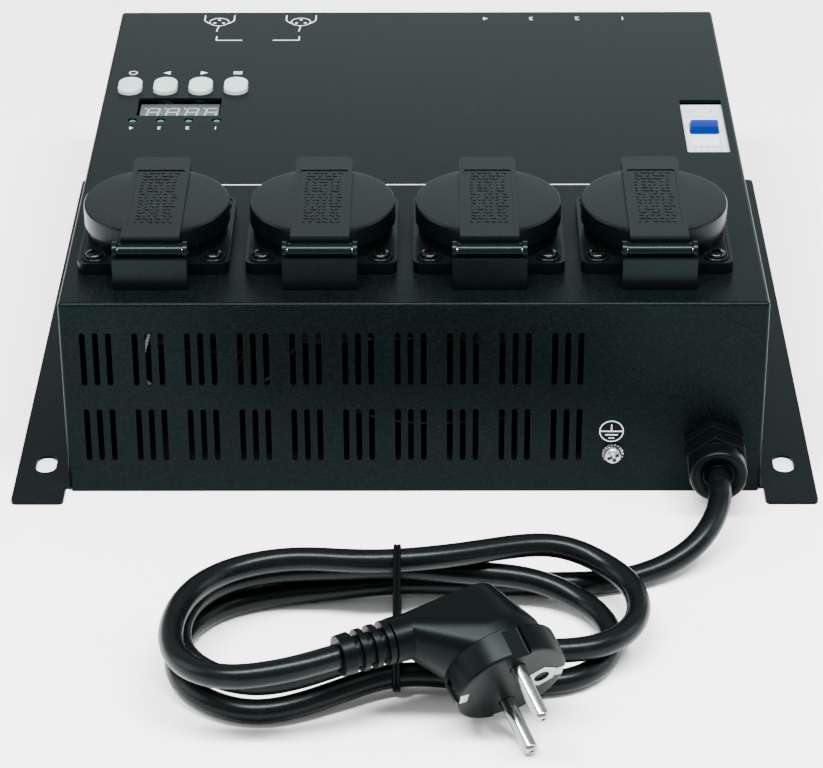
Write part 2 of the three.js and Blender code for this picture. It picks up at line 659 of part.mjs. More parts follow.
function contactPlaces(x) {
  return contactAngles.map((degrees) => {
    const angle = THREE.MathUtils.degToRad(degrees);
    const radius = xlr.pinCircle / 2;
    return [x + radius * Math.cos(angle), xlr.z - radius * Math.sin(angle)];
  });
}

function buildXlrMale() {
  const faceY = housing.depth + xlr.flangeThick;
  const cup = rod(xlr.cup, xlr.cupDepth + overrun, xlr.maleX, faceY - xlr.cupDepth, xlr.z);
  let shell = cut(buildXlrShell(xlr.maleX), cup);
  for (const [x, z] of contactPlaces(xlr.maleX)) {
    const root = faceY - xlr.cupDepth - clearance;
    shell = shell.add(toSolid(rod(xlr.pin, xlr.pinHeight + clearance, x, root, z, arcSteps * 2)));
  }
  return shell;
}

function latchCentreZ() {
  return xlr.z + xlr.latchRise;
}

function buildXlrFemale() {
  const faceY = housing.depth + xlr.flangeThick;
  const insert = rod(xlr.insert, xlr.insertProud + overrun, xlr.femaleX, faceY - overrun, xlr.z);
  let shell = join(buildXlrShell(xlr.femaleX), insert);
  for (const [x, z] of contactPlaces(xlr.femaleX)) {
    const low = faceY - xlr.socketDepth + overrun;
    const contact = rod(xlr.socketHole, xlr.socketDepth + overrun, x, low, z, arcSteps * 2);
    shell = shell.subtract(toSolid(contact));
  }
  const roomHeight = xlr.latchHeight + 2 * clearance + xlr.latchTravel;
  const roomZ = latchCentreZ() + xlr.latchHeight / 2 + clearance - roomHeight;
  const roomDepth = xlr.latchDepth + clearance;
  const roomY = faceY + (overrun - roomDepth) / 2;
  const roomWidth = xlr.latchWidth + 2 * clearance;
  const room = block(roomWidth, roomDepth + overrun, roomHeight, xlr.femaleX, roomY, roomZ);
  return shell.subtract(toSolid(room));
}

function buildXlrLatch() {
  const faceY = housing.depth + xlr.flangeThick;
  const length = xlr.latchDepth + xlr.latchProud;
  const middle = faceY - xlr.latchDepth + length / 2;
  const low = latchCentreZ() - xlr.latchHeight / 2;
  return block(xlr.latchWidth, length, xlr.latchHeight, xlr.femaleX, middle, low);
}

function buildFuseHolder(index) {
  const x = fuseX(index);
  const seatY = housing.depth + clearance;
  const bezel = rod(fuse.bezel, fuse.bezelThick - clearance, x, seatY, fuse.z);
  const body = rod(fuse.body, fuse.bodyDepth + clearance, x, seatY - fuse.bodyDepth, fuse.z);
  const boreY = housing.depth + fuse.bezelThick - fuse.boreDepth;
  const bore = rod(fuse.bore, fuse.boreDepth + overrun, x, boreY, fuse.z, smallSteps);
  return cut(join(bezel, body), bore);
}

function buildFuseCap() {
  const headLow = clearance;
  const headLength = fuse.capProud - headLow;
  const head = rod(fuse.cap, headLength, 0, headLow, 0);
  const core = rod(fuse.plug, fuse.plugLength + headLow + clearance, 0, -fuse.plugLength, 0, smallSteps);
  const slotLow = -fuse.slotWidth / 2;
  const slotCut = block(fuse.cap + overrun, 2 * fuse.slotDepth, fuse.slotWidth, 0, fuse.capProud, slotLow);
  return cut(join(head, core), slotCut);
}

// Electronics
function buildPowerBoard() {
  const low = floorTop;
  const plateZ = low + powerBoard.lift;
  const centreY = powerBoard.fromFront;
  const top = plateZ + powerBoard.thick;
  const { width, length, thick, centreX } = powerBoard;
  let board = toSolid(block(width, length, thick, centreX, centreY, plateZ));
  for (const sideX of [1, -1]) {
    for (const sideY of [1, -1]) {
      const x = centreX + sideX * (width / 2 - powerBoard.studInset);
      const y = centreY + sideY * (length / 2 - powerBoard.studInset);
      const stud = post(powerBoard.studDiameter, powerBoard.lift + thick, x, y, low, arcSteps * 2);
      board = board.add(toSolid(stud));
    }
  }
  const back = centreY + length / 2;
  const sink = thick / 2;
  for (let index = 0; index < channelCount; index += 1) {
    const shift = index - (channelCount - 1) / 2;
    const x = centreX + shift * powerBoard.channelPitch;
    const ring = cut(
      post(choke.diameter, choke.height + sink, x, back - choke.fromBack, top - sink, smallSteps),
      post(choke.hole, choke.height + overrun, x, back - choke.fromBack, top, smallSteps),
    );
    const switchY = back - triac.depth / 2;
    const switchBody = block(triac.width, triac.depth, triac.height + sink, x, switchY, top - sink);
    const canY = centreY - length / 2 + capacitor.fromBoardFront;
    const can = post(capacitor.diameter, capacitor.height + sink, x, canY, top - sink, smallSteps);
    board = board.add(ring).add(toSolid(switchBody)).add(toSolid(can));
  }
  return board;
}

function buildHeatSink() {
  const frontY = powerBoard.fromFront + powerBoard.length / 2 + clearance;
  const { width, centreX } = powerBoard;
  const wallY = frontY + heatSink.base / 2;
  const wall = block(width, heatSink.base, heatSink.height, centreX, wallY, floorTop);
  const step = (width - heatSink.fin) / (heatSink.finCount - 1);
  const reach = heatSink.finReach + heatSink.base / 2;
  const fins = [];
  for (let index = 0; index < heatSink.finCount; index += 1) {
    const x = centreX - (width - heatSink.fin) / 2 + index * step;
    fins.push(block(heatSink.fin, reach, heatSink.height, x, wallY + reach / 2, floorTop));
  }
  return join(wall, ...fins);
}

function buildTerminal() {
  const { width, length, height, centreX, fromFront } = terminal;
  let body = toSolid(block(width, length, height, centreX, fromFront, floorTop));
  const pitch = width / terminal.ways;
  for (let way = 0; way < terminal.ways; way += 1) {
    const x = centreX + (way - (terminal.ways - 1) / 2) * pitch;
    const z = floorTop + height / 2 - terminal.hole / 2;
    const entryY = fromFront - length / 2 - overrun;
    const entry = rod(terminal.hole, length + 2 * overrun, x, entryY, z, smallSteps);
    const screwWell = post(terminal.screw, height, x, fromFront, z, smallSteps);
    body = body.subtract(toSolid(entry)).subtract(toSolid(screwWell));
  }
  return body;
}

function buildTransformer() {
  const { centreX, fromFront, width, length, height, core, footExtra, footThick } = transformer;
  const foot = block(width + 2 * footExtra, length, footThick, centreX, fromFront, floorTop);
  const stack = block(width, core, height, centreX, fromFront, floorTop);
  const bobbin = block(width - core, length, height - core, centreX, fromFront, floorTop + core / 2);
  return join(foot, stack, bobbin);
}

// Mains lead, hank, tie and plug
const cordRadius = cord.diameter / 2;
const hankLayer = cord.diameter + cord.layerGap;
const hankFloor = cordRadius + cord.floorGap;
const tieLift = tie.liftShare * (tie.thick + clearance);

// Evenly weighted cubic spline through the neighbourhood of its guides, ending on the end guides
function splinePoints(guides, steps) {
  const first = guides[0].clone().multiplyScalar(2).sub(guides[1]);
  const last = guides[guides.length - 1].clone().multiplyScalar(2).sub(guides[guides.length - 2]);
  const all = [first, ...guides, last];
  const points = [];
  for (let span = 0; span < all.length - 3; span += 1) {
    for (let step = 0; step < steps; step += 1) {
      const t = step / steps;
      const weights = [
        (1 - t) ** 3 / 6, (3 * t ** 3 - 6 * t ** 2 + 4) / 6,
        (-3 * t ** 3 + 3 * t ** 2 + 3 * t + 1) / 6, t ** 3 / 6,
      ];
      const point = new THREE.Vector3();
      weights.forEach((weight, offset) => point.addScaledVector(all[span + offset], weight));
      points.push(point);
    }
  }
  points.push(guides[guides.length - 1].clone());
  return points;
}

// Free stretch, from the gland to where the hank begins
const leadRoute = [
  [103.5, -19.8, 17.5], [103.5, -27, 17.4], [102.5, -35.2, 15.5], [98.8, -43.8, 12.2], [91.8, -51.4, 8],
  [82, -56.8, 5], [71.5, -61.4, 4], [61, -63.8, 4], [53, -64.3, 4], [46, -64.4, 4],
];

// Hank: centre and radius of the left and right lobe, and the two waist places, of each turn
const hankTurns = [
  { left: [-42, -105, 33], right: [38, -97, 25.2], backWaist: -66, frontWaist: -117 },
  { left: [-42, -103, 32], right: [45.5, -90, 26.5], backWaist: -70, frontWaist: -115 },
  { left: [-39, -112.5, 35.5], backWaist: -81 },
];
const leftAngles = [90, 125, 158, 195, 225, 262];
const rightAngles = [-76, -40, -8, 24, 58, 92];
const climbShares = [0, 0, 0, 0.11, 0.25, 0.8];
const crossingShare = 0.85;
const runInSlopeShare = 0.02;
const tailRoute = [[-76.5, -124, 22], [-69.5, -141, 23.5], [-55, -150, 25.5]];

function plugMatrix() {
  const [roll, lean, heading] = [plug.roll, plug.lean, plug.turn].map(THREE.MathUtils.degToRad);
  const turn = new THREE.Euler(roll, lean, heading, 'ZYX');
  const place = new THREE.Vector3(plug.faceX, plug.faceFromFront, plug.faceZ);
  const rotation = new THREE.Quaternion().setFromEuler(turn);
  return new THREE.Matrix4().compose(place, rotation, new THREE.Vector3(1, 1, 1));
}

// Point on the neck's axis, in the plug's own frame
function neckPoint(along) {
  return new THREE.Vector3(-along, 0, -plug.neckFrom);
}

function hankGuides() {
  const start = leadRoute[leadRoute.length - 1];
  const guides = [];
  const add = (x, y, z) => guides.push(new THREE.Vector3(x, y, z));
  for (const back of [clearance, cord.diameter, 2 * cord.diameter, 3 * cord.diameter]) {
    add(start[0] - back, start[1] - back * runInSlopeShare, hankFloor);
  }
  const spread = THREE.MathUtils.degToRad(leftAngles[1] - leftAngles[0]);
  const grow = 3 / (2 + Math.cos(spread));
  hankTurns.forEach((turn, index) => {
    const z = hankFloor + hankLayer * index;
    const [leftX, leftY, leftRadius] = turn.left;
    const middleX = (tie.x + leftX) / 2;
    add(tie.x, turn.backWaist, z + tieLift);
    add(middleX, (turn.backWaist + leftY + leftRadius) / 2, z + tieLift / 2);
    const angles = turn.right ? leftAngles : leftAngles.slice(0, 3);
    angles.forEach((degrees) => {
      const angle = THREE.MathUtils.degToRad(degrees);
      add(leftX + grow * leftRadius * Math.cos(angle), leftY + grow * leftRadius * Math.sin(angle), z);
    });
    if (!turn.right) return;
    const [rightX, rightY, rightRadius] = turn.right;
    const farX = (tie.x + rightX) / 2;
    add(middleX, (turn.frontWaist + leftY - leftRadius) / 2, z + tieLift / 2);
    add(tie.x, turn.frontWaist, z + tieLift);
    add(farX, (turn.frontWaist + rightY - rightRadius) / 2, z + tieLift / 2);
    rightAngles.forEach((degrees, place) => {
      const angle = THREE.MathUtils.degToRad(degrees);
      const climb = hankLayer * climbShares[place];
      const [across, along] = [Math.cos(angle), Math.sin(angle)].map((part) => grow * rightRadius * part);
      add(rightX + across, rightY + along, z + climb);
    });
    const next = hankTurns[index + 1];
    add(farX, (next.backWaist + rightY + rightRadius) / 2, z + hankLayer * crossingShare + tieLift / 2);
  });
  tailRoute.forEach((point) => add(...point));
  const matrix = plugMatrix();
  for (const beyond of [2 * cord.diameter, cord.diameter, clearance]) {
    guides.push(neckPoint(plug.neckLength + beyond).applyMatrix4(matrix));
  }
  return guides;
}

function tube(points, steps, sides) {
  const path = new THREE.CatmullRomCurve3(points);
  const ring = [];
  for (let side = 0; side < sides; side += 1) {
    const angle = side / sides * 2 * Math.PI;
    ring.push(new THREE.Vector2(cordRadius * Math.cos(angle), cordRadius * Math.sin(angle)));
  }
  return new THREE.ExtrudeGeometry(new THREE.Shape(ring), { steps, extrudePath: path, bevelEnabled: false });
}

const leadPoints = splinePoints(leadRoute.map((point) => new THREE.Vector3(...point)), cord.guideSteps);
const hankPoints = splinePoints(hankGuides(), cord.guideSteps);

function pathLength(points) {
  return points.slice(1).reduce((sum, point, index) => sum + point.distanceTo(points[index]), 0);
}

// Least face-to-face gap of the wound cord to itself, on evenly spaced points
function leastGap(points) {
  const path = new THREE.CatmullRomCurve3(points);
  const total = pathLength(points);
  const count = Math.round(total);
  const even = path.getSpacedPoints(count);
  const skip = Math.ceil(3 * cord.diameter / (total / count));
  let least = Infinity;
  for (let i = 0; i < even.length; i += 1) {
    for (let j = i + skip; j < even.length; j += 1) least = Math.min(least, even[i].distanceTo(even[j]));
  }
  return least - cord.diameter;
}

// Cord sections and plug neck where the tie goes round them
function sectionsAtTie() {
  const sections = [];
  for (let i = 1; i < hankPoints.length; i += 1) {
    if ((hankPoints[i - 1].x - tie.x) * (hankPoints[i].x - tie.x) > 0) continue;
    sections.push(sectionAtTie(hankPoints[i - 1], hankPoints[i], cordRadius));
  }
  const matrix = plugMatrix();
  const near = neckPoint(0).applyMatrix4(matrix);
  const far = neckPoint(plug.neckLength).applyMatrix4(matrix);
  sections.push(sectionAtTie(near, far, plug.neckDiameter / 2));
  return sections;
}

// Where the line from a to b crosses the tie, and how far it reaches there along y and z
function sectionAtTie(a, b, radius) {
  const slopeY = (b.y - a.y) / (b.x - a.x);
  const slopeZ = (b.z - a.z) / (b.x - a.x);
  const y = a.y + (tie.x - a.x) * slopeY;
  const z = a.z + (tie.x - a.x) * slopeZ;
  const reach = (slope) => radius * Math.hypot(1, slope) + tie.width / 2 * Math.abs(slope);
  return [y, z, reach(slopeY), reach(slopeZ)];
}

// Outline of a band stretched round circles
function bandOutline(circles, margin) {
  const points = [];
  for (const [y, z, reachY, reachZ] of circles) {
    for (let step = 0; step < roundSteps; step += 1) {
      const angle = step / roundSteps * 2 * Math.PI;
      points.push([y + (reachY + margin) * Math.cos(angle), z + (reachZ + margin) * Math.sin(angle)]);
    }
  }
  points.sort((a, b) => a[0] - b[0] || a[1] - b[1]);
  const turns = (o, a, b) => (a[0] - o[0]) * (b[1] - o[1]) - (a[1] - o[1]) * (b[0] - o[0]);
  const half = (list) => {
    const chain = [];
    for (const point of list) {
      while (chain.length > 1 && turns(chain.at(-2), chain.at(-1), point) <= 0) chain.pop();
      chain.push(point);
    }
    chain.pop();
    return chain;
  };
  return [...half(points), ...half([...points].reverse())];
}

function buildTie() {
  const circles = sectionsAtTie();
  const outer = sidePrism(bandOutline(circles, tie.thick + clearance), tie.width, tie.x, 0, 0);
  const inner = sidePrism(bandOutline(circles, clearance), tie.width + overrun, tie.x, 0, 0);
  return cut(outer, inner);
}

function ringPoints(diameter, steps, toPlace) {
  const points = [];
  for (let step = 0; step < steps; step += 1) {
    const angle = step / steps * 2 * Math.PI;
    points.push(toPlace(diameter / 2 * Math.cos(angle), diameter / 2 * Math.sin(angle)));
  }
  return points;
}

// Cylinder along the neck of the plug
function neckCylinder(diameter, from, to) {
  const piece = new THREE.CylinderGeometry(diameter / 2, diameter / 2, to - from, smallSteps);
  const middle = neckPoint((from + to) / 2);
  return piece.rotateZ(Math.PI / 2).translate(middle.x, middle.y, middle.z);
}

// Plug: round rim, moulded grip that runs into the neck, ribbed relief and collar
function buildPlugBody() {
  const { rim, edge } = plug;
  const radius = plug.diameter / 2;
  const profile = [[0, -rim], [radius, -rim], [radius, -edge], [radius - edge, 0], [0, 0]]
    .map(([across, along]) => new THREE.Vector2(across, along));
  const disc = new THREE.LatheGeometry(profile, roundSteps).rotateX(Math.PI / 2);
  const point = (u, s, p) => new THREE.Vector3(u, s, p);
  const grip = new ConvexGeometry([
    ...ringPoints(plug.gripDiameter, roundSteps, (u, s) => point(u, s, -rim + edge)),
    ...ringPoints(plug.backDiameter, smallSteps, (u, s) => point(u, s, -plug.backDepth)),
    ...ringPoints(plug.neckDiameter, smallSteps, (s, p) => point(-plug.neckReach, s, -plug.neckFrom + p)),
  ]);
  const ribsFrom = plug.neckLength - plug.collar - plug.ribCount * plug.ribPitch;
  const pieces = [
    neckCylinder(plug.neckDiameter, plug.neckReach - overrun, plug.neckReach + plug.neckStraight),
    neckCylinder(plug.reliefDiameter, plug.neckReach, plug.neckLength),
    neckCylinder(plug.ribDiameter, plug.neckLength - plug.collar, plug.neckLength),
  ];
  for (let rib = 0; rib < plug.ribCount; rib += 1) {
    const from = ribsFrom + rib * plug.ribPitch;
    pieces.push(neckCylinder(plug.ribDiameter, from, from + plug.ribThick));
  }
  let body = join(disc, grip, ...pieces);
  for (const side of [1, -1]) {
    const boreDepth = plug.pinRoot + clearance;
    const boreY = side * plug.pinSpacing / 2;
    const boreDiameter = plug.pinDiameter + 2 * clearance;
    const bore = post(boreDiameter, boreDepth + overrun, 0, boreY, -boreDepth, smallSteps);
    const notch = block(plug.notchWidth, 2 * plug.notchDepth, rim + overrun, 0, side * radius, -rim);
    body = body.subtract(toSolid(bore)).subtract(toSolid(notch));
  }
  const earthBore = post(
    plug.earthHole, plug.earthDepth + overrun, plug.earthOffset, 0, -plug.earthDepth, smallSteps,
  );
  return body.subtract(toSolid(earthBore));
}

function buildPlugPin(side) {
  const radius = plug.pinDiameter / 2;
  const tip = pinTipShares.map(([across, along]) => [radius * across, plug.pinLength - plug.pinTip * along]);
  const profile = [
    [0, -plug.pinRoot], [radius, -plug.pinRoot], [radius, plug.pinLength - plug.pinTip], ...tip,
    [0, plug.pinLength],
  ].map(([across, along]) => new THREE.Vector2(across, along));
  const pin = new THREE.LatheGeometry(profile, smallSteps);
  return pin.rotateX(Math.PI / 2).translate(0, side * plug.pinSpacing / 2, 0);
}

// The assembly
place('cover', buildCover(), look.hood);
place('base_plate', buildBasePlate(), look.zinc);
for (let index = 0; index < channelCount; index += 1) {
  const number = index + 1;
  place(`socket_body_${number}`, buildSocketBody(index), look.socketPlastic);
  place(`socket_lid_${number}`, buildLid(index), look.socketPlastic);
  place(`lid_pin_${number}`, buildLidPin(index), look.nickel);
  const screwReach = socket.screwSpacing / 2;
  const [screwX, screwY] = [socketX(index), socketY - screwReach];
  place(`socket_screw_${number}a`, buildSocketScrew(screwX - screwReach, screwY), look.darkScrew);
  place(`socket_screw_${number}b`, buildSocketScrew(screwX + screwReach, screwY), look.darkScrew);
}
for (let index = 0; index < key.count; index += 1) {
  place(`button_${index + 1}`, buildKey(index), look.keyPlastic);
}
place('control_board', buildControlBoard(), look.board);
place('display_module', buildDisplay(), look.displayBody);
for (let index = 0; index < channelCount; index += 1) {
  place(`channel_led_${index + 1}`, buildLamp(index), look.lampGreen);
}
place('breaker_body', buildBreakerBody(), look.breakerWhite);
const leverGroup = new THREE.Group();
leverGroup.position.set(breaker.centreX, pivotY, pivotZ);
leverGroup.rotation.x = -THREE.MathUtils.degToRad(lever.rest);
frame.add(leverGroup);
place('breaker_lever', buildLever(), look.leverBlue, leverGroup);
place('breaker_rail', buildRail(), look.zinc);
place('gland_body', buildGlandBody(), look.glandBlack);
place('gland_nut', buildGlandNut(), look.glandBlack);
place('gland_locknut', buildGlandLocknut(), look.glandBlack);
place('earth_screw', buildEarthScrew(), look.nickel);
place('xlr_male', buildXlrMale(), look.darkScrew);
place('xlr_female', buildXlrFemale(), look.darkScrew);
place('xlr_latch', buildXlrLatch(), look.nickel);
for (let index = 0; index < channelCount; index += 1) {
  place(`fuse_holder_${index + 1}`, buildFuseHolder(index), look.glandBlack);
  const capGroup = new THREE.Group();
  capGroup.position.set(fuseX(index), housing.depth + fuse.bezelThick, fuse.z);
  frame.add(capGroup);
  place(`fuse_cap_${index + 1}`, buildFuseCap(), look.glandBlack, capGroup);
}
place('power_board', buildPowerBoard(), look.board);
place('heat_sink', buildHeatSink(), look.aluminium);
place('terminal_block', buildTerminal(), look.terminalGrey);
place('transformer', buildTransformer(), look.copper);
place('mains_lead', tube(leadPoints, cord.leadSteps, cord.leadSides), look.cordBlack);
place('cord_hank', tube(hankPoints, cord.hankSteps, cord.hankSides), look.cordBlack);
place('cord_tie', buildTie(), look.cordBlack);
const plugGroup = new THREE.Group();
plugGroup.applyMatrix4(plugMatrix());
frame.add(plugGroup);
place('plug_body', buildPlugBody(), look.cordBlack, plugGroup);
place('plug_pin_1', buildPlugPin(1), look.nickel, plugGroup);
place('plug_pin_2', buildPlugPin(-1), look.nickel, plugGroup);

console.log(`cord length ${(pathLength(leadPoints) + pathLength(hankPoints)).toFixed(0)} mm`);
console.log(`least gap of the hank to itself ${leastGap(hankPoints).toFixed(2)} mm`);

export default pack;
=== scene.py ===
import math

import bmesh
import bpy
from mathutils import Euler, Matrix, Quaternion, Vector
from mathutils.geometry import convex_hull_2d


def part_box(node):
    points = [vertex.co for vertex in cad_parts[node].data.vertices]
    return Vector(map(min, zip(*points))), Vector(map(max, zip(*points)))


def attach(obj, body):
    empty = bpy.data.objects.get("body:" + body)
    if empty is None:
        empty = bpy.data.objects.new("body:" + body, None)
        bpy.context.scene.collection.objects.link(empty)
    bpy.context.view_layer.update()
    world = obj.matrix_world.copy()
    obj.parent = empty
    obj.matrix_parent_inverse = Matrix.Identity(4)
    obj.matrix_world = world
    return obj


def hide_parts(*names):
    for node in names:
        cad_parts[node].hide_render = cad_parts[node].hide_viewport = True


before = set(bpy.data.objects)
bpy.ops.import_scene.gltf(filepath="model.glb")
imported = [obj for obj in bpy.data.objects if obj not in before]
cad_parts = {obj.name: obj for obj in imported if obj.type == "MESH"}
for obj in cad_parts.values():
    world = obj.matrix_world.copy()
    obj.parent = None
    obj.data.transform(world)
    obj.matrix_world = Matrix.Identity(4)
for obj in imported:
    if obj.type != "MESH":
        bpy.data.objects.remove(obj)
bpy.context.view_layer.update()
print("frame loaded with", len(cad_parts), "parts")

# Sizes are in millimetres: x from the middle of the case, y from its front wall, z from the floor
case = {
    "width": 240, "length": 252, "height": 74, "sheet": 1.2, "bend": 1.4, "edge": 0.16, "gap": 0.6,
    "flangeReach": 19.5, "flangeFront": -9, "flangeRear": 245, "flangeCorner": 1.8, "skirtLow": 0.1,
    "slotX": 129.75, "slotY": (16.5, 222), "slotWidth": 7.2, "slotLength": 11.5, "screwHole": 3.4,
}
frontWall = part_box("cover")[1].y - case["length"] * 0.001
toFrame = Matrix.Translation((0, frontWall, 0)) @ Matrix.Scale(0.001, 4)
toViewer = (90, 0, 0)
toRear = (-90, 0, 0)
alongX = (0, 90, 0)
channels = range(4)


# Shapes: each is a closed bmesh that stands on z = 0 in the middle of x and y
def at(x=0, y=0, z=0, turn=(0, 0, 0)):
    angles = Euler([math.radians(angle) for angle in turn])
    return Matrix.Translation((x, y, z)) @ angles.to_matrix().to_4x4()


def bevelled(shape, lines, width, steps, affect="EDGES", clamp=False):
    bmesh.ops.bevel(
        shape, geom=lines, offset=width, segments=steps, profile=0.5, affect=affect, material=-1,
        clamp_overlap=clamp,
    )


def soften(shape, width, steps=2, steep=40):
    sharp = [side for side in shape.edges if side.calc_face_angle(0) > math.radians(steep)]
    bevelled(shape, sharp, width, steps, clamp=True)
    return shape


def upright(shape, least):
    return [side for side in shape.edges if abs(side.verts[0].co.z - side.verts[1].co.z) > least]


def cuboid(width, length, height, middle):
    shape = bmesh.new()
    size = Matrix.Diagonal((width, length, height, 1))
    bmesh.ops.create_cube(shape, size=1, matrix=middle @ size)
    return shape


def block(width, length, height, corner=0, edge=0):
    shape = cuboid(width, length, height, at(z=height / 2))
    if corner:
        bevelled(shape, upright(shape, height / 2), corner, 6)
    return soften(shape, edge) if edge else shape


def welded(shape):
    bmesh.ops.remove_doubles(shape, verts=shape.verts, dist=0.0005)
    bmesh.ops.recalc_face_normals(shape, faces=shape.faces)
    return shape


def turned(profile, steps, edge=0, steep=40):
    shape = bmesh.new()
    corners = [shape.verts.new((radius, 0, height)) for radius, height in profile]
    lines = [shape.edges.new(pair) for pair in zip(corners, corners[1:])]
    bmesh.ops.spin(
        shape, geom=corners + lines, cent=(0, 0, 0), axis=(0, 0, 1), angle=math.tau, steps=steps,
        use_merge=True,
    )
    welded(shape)
    return soften(shape, edge, 2, steep) if edge else shape


def post(diameter, height, edge=0, steps=48):
    radius = diameter / 2
    return turned([(0, 0), (radius, 0), (radius, height), (0, height)], steps, edge)


def ring(outer, inner, height, edge=0, steps=64):
    wide, narrow = outer / 2, inner / 2
    profile = [(narrow, 0), (wide, 0), (wide, height), (narrow, height), (narrow, 0)]
    return turned(profile, steps, edge)


def prism(sides, radius, height, edge=0, turn=0):
    shape = bmesh.new()
    bmesh.ops.create_cone(
        shape, cap_ends=True, segments=sides, radius1=radius, radius2=radius, depth=height,
        matrix=at(z=height / 2, turn=(0, 0, turn)),
    )
    return soften(shape, edge, 3) if edge else shape


def obround(width, length, height, edge=0, steps=2):
    across = min(width, length)
    shape = prism(32, across / 2, height, turn=5.625)
    spread = Vector(((width - across) / 2, (length - across) / 2, 0))
    for side in (-1, 1):
        end = [point for point in shape.verts if point.co.dot(spread) * side > 0]
        bmesh.ops.translate(shape, vec=spread * side, verts=end)
    return soften(shape, edge, steps) if edge else shape


def gathered(*placed):
    whole = bmesh.new()
    for shape, where in placed:
        bmesh.ops.transform(shape, matrix=where, verts=shape.verts)
        held = bpy.data.meshes.new("held")
        shape.to_mesh(held)
        shape.free()
        whole.from_mesh(held)
        bpy.data.meshes.remove(held)
    return whole


def copied(shape, where):
    twin = shape.copy()
    bmesh.ops.transform(twin, matrix=where, verts=twin.verts)
    return twin


def linked(name, data):
    thing = bpy.data.objects.new(name, data)
    bpy.context.scene.collection.objects.link(thing)
    return thing


def asObject(shape, name):
    mesh = bpy.data.meshes.new(name)
    shape.to_mesh(mesh)
    shape.free()
    return linked(name, mesh)


def finalMesh(thing):
    graph = bpy.context.evaluated_depsgraph_get()
    return bpy.data.meshes.new_from_object(thing.evaluated_get(graph))


def asShape(thing):
    mesh = finalMesh(thing)
    shape = bmesh.new()
    shape.from_mesh(mesh)
    bpy.data.meshes.remove(mesh)
    bpy.data.objects.remove(thing)
    return shape


def joined(body, tool, how="UNION"):
    base = asObject(body, "base")
    cutter = asObject(tool, "cutter")
    step = base.modifiers.new("join", "BOOLEAN")
    step.solver = "EXACT"
    step.operation = how
    step.object = cutter
    shape = asShape(base)
    bpy.data.objects.remove(cutter)
    bmesh.ops.dissolve_degenerate(shape, edges=shape.edges, dist=0.0002)
    return shape


def cut(body, *tools):
    return joined(body, gathered(*tools), "DIFFERENCE")


def built(body, *additions):
    for shape, where in additions:
        body = joined(body, copied(shape, where))
    return body


def vertsIn(pieces):
    return [piece for piece in pieces if isinstance(piece, bmesh.types.BMVert)]


def rounded(shape, width, steep, steps=2):
    piece = asObject(shape, "rounded")
    soft = piece.modifiers.new("edges", "BEVEL")
    soft.width = width
    soft.segments = steps
    soft.limit_method = "ANGLE"
    soft.angle_limit = math.radians(steep)
    return asShape(piece)


def drawn(name, runs, thickness, fineness, kind="NURBS"):
    curve = bpy.data.curves.new(name, "CURVE")
    curve.dimensions = "3D"
    curve.bevel_depth = thickness / 2
    curve.bevel_resolution = fineness
    curve.use_fill_caps = True
    for run in runs:
        line = curve.splines.new(kind)
        line.points.add(len(run) - 1)
        for point, place in zip(line.points, run):
            point.co = (*place, 1)
        line.order_u = 4
    return linked(name, curve)


def strand(points, thickness):
    thing = drawn("strand", [points], thickness, 3)
    line = thing.data.splines[0]
    line.use_endpoint_u = True
    line.resolution_u = 6
    return welded(asShape(thing))


def figure(text, size, thick):
    curve = bpy.data.curves.new("figure", "FONT")
    curve.body = text
    curve.size = size
    curve.extrude = thick / 2
    curve.align_x = "CENTER"
    curve.align_y = "CENTER"
    return welded(asShape(linked("figure", curve)))


def settle(shape, where, name, finish, standsFor=None, rides="housing", smooth=32):
    placed = copied(shape, toFrame @ where)
    placed.normal_update()
    piece = asObject(placed, name)
    piece.data.shade_smooth()
    piece.data.set_sharp_from_angle(angle=math.radians(smooth))
    calm = piece.modifiers.new("calm", "WEIGHTED_NORMAL")
    calm.keep_sharp = True
    piece.data = finalMesh(piece)
    piece.modifiers.clear()
    piece.data.materials.clear()
    piece.data.materials.append(finishes[finish])
    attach(piece, rides)
    if standsFor:
        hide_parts(standsFor)
    return piece


def settleEach(shape, places, name, finish, standsFor=None, rides=None):
    pieces = []
    for number, where in enumerate(places, 1):
        node = f"{standsFor}_{number}" if standsFor else None
        body = f"{rides}_{number}" if rides else "housing"
        pieces.append(settle(shape, where, f"{name}_{number}", finish, node, body))
    return pieces


# Shader formulas: a Wire is one output of a node
class Wire:
    def __init__(self, paint, socket):
        self.paint = paint
        self.socket = socket

    def combine(self, operation, other, swapped=False):
        pair = {0: other, 1: self} if swapped else {0: self, 1: other}
        return self.paint.node("ShaderNodeMath", {"operation": operation}, pair)

    def __add__(self, other):
        return self.combine("ADD", other)

    def __radd__(self, other):
        return self.combine("ADD", other, True)

    def __mul__(self, other):
        return self.combine("MULTIPLY", other)

    def __rmul__(self, other):
        return self.combine("MULTIPLY", other, True)

    def __gt__(self, other):
        return self.combine("GREATER_THAN", other)


finishes = {}


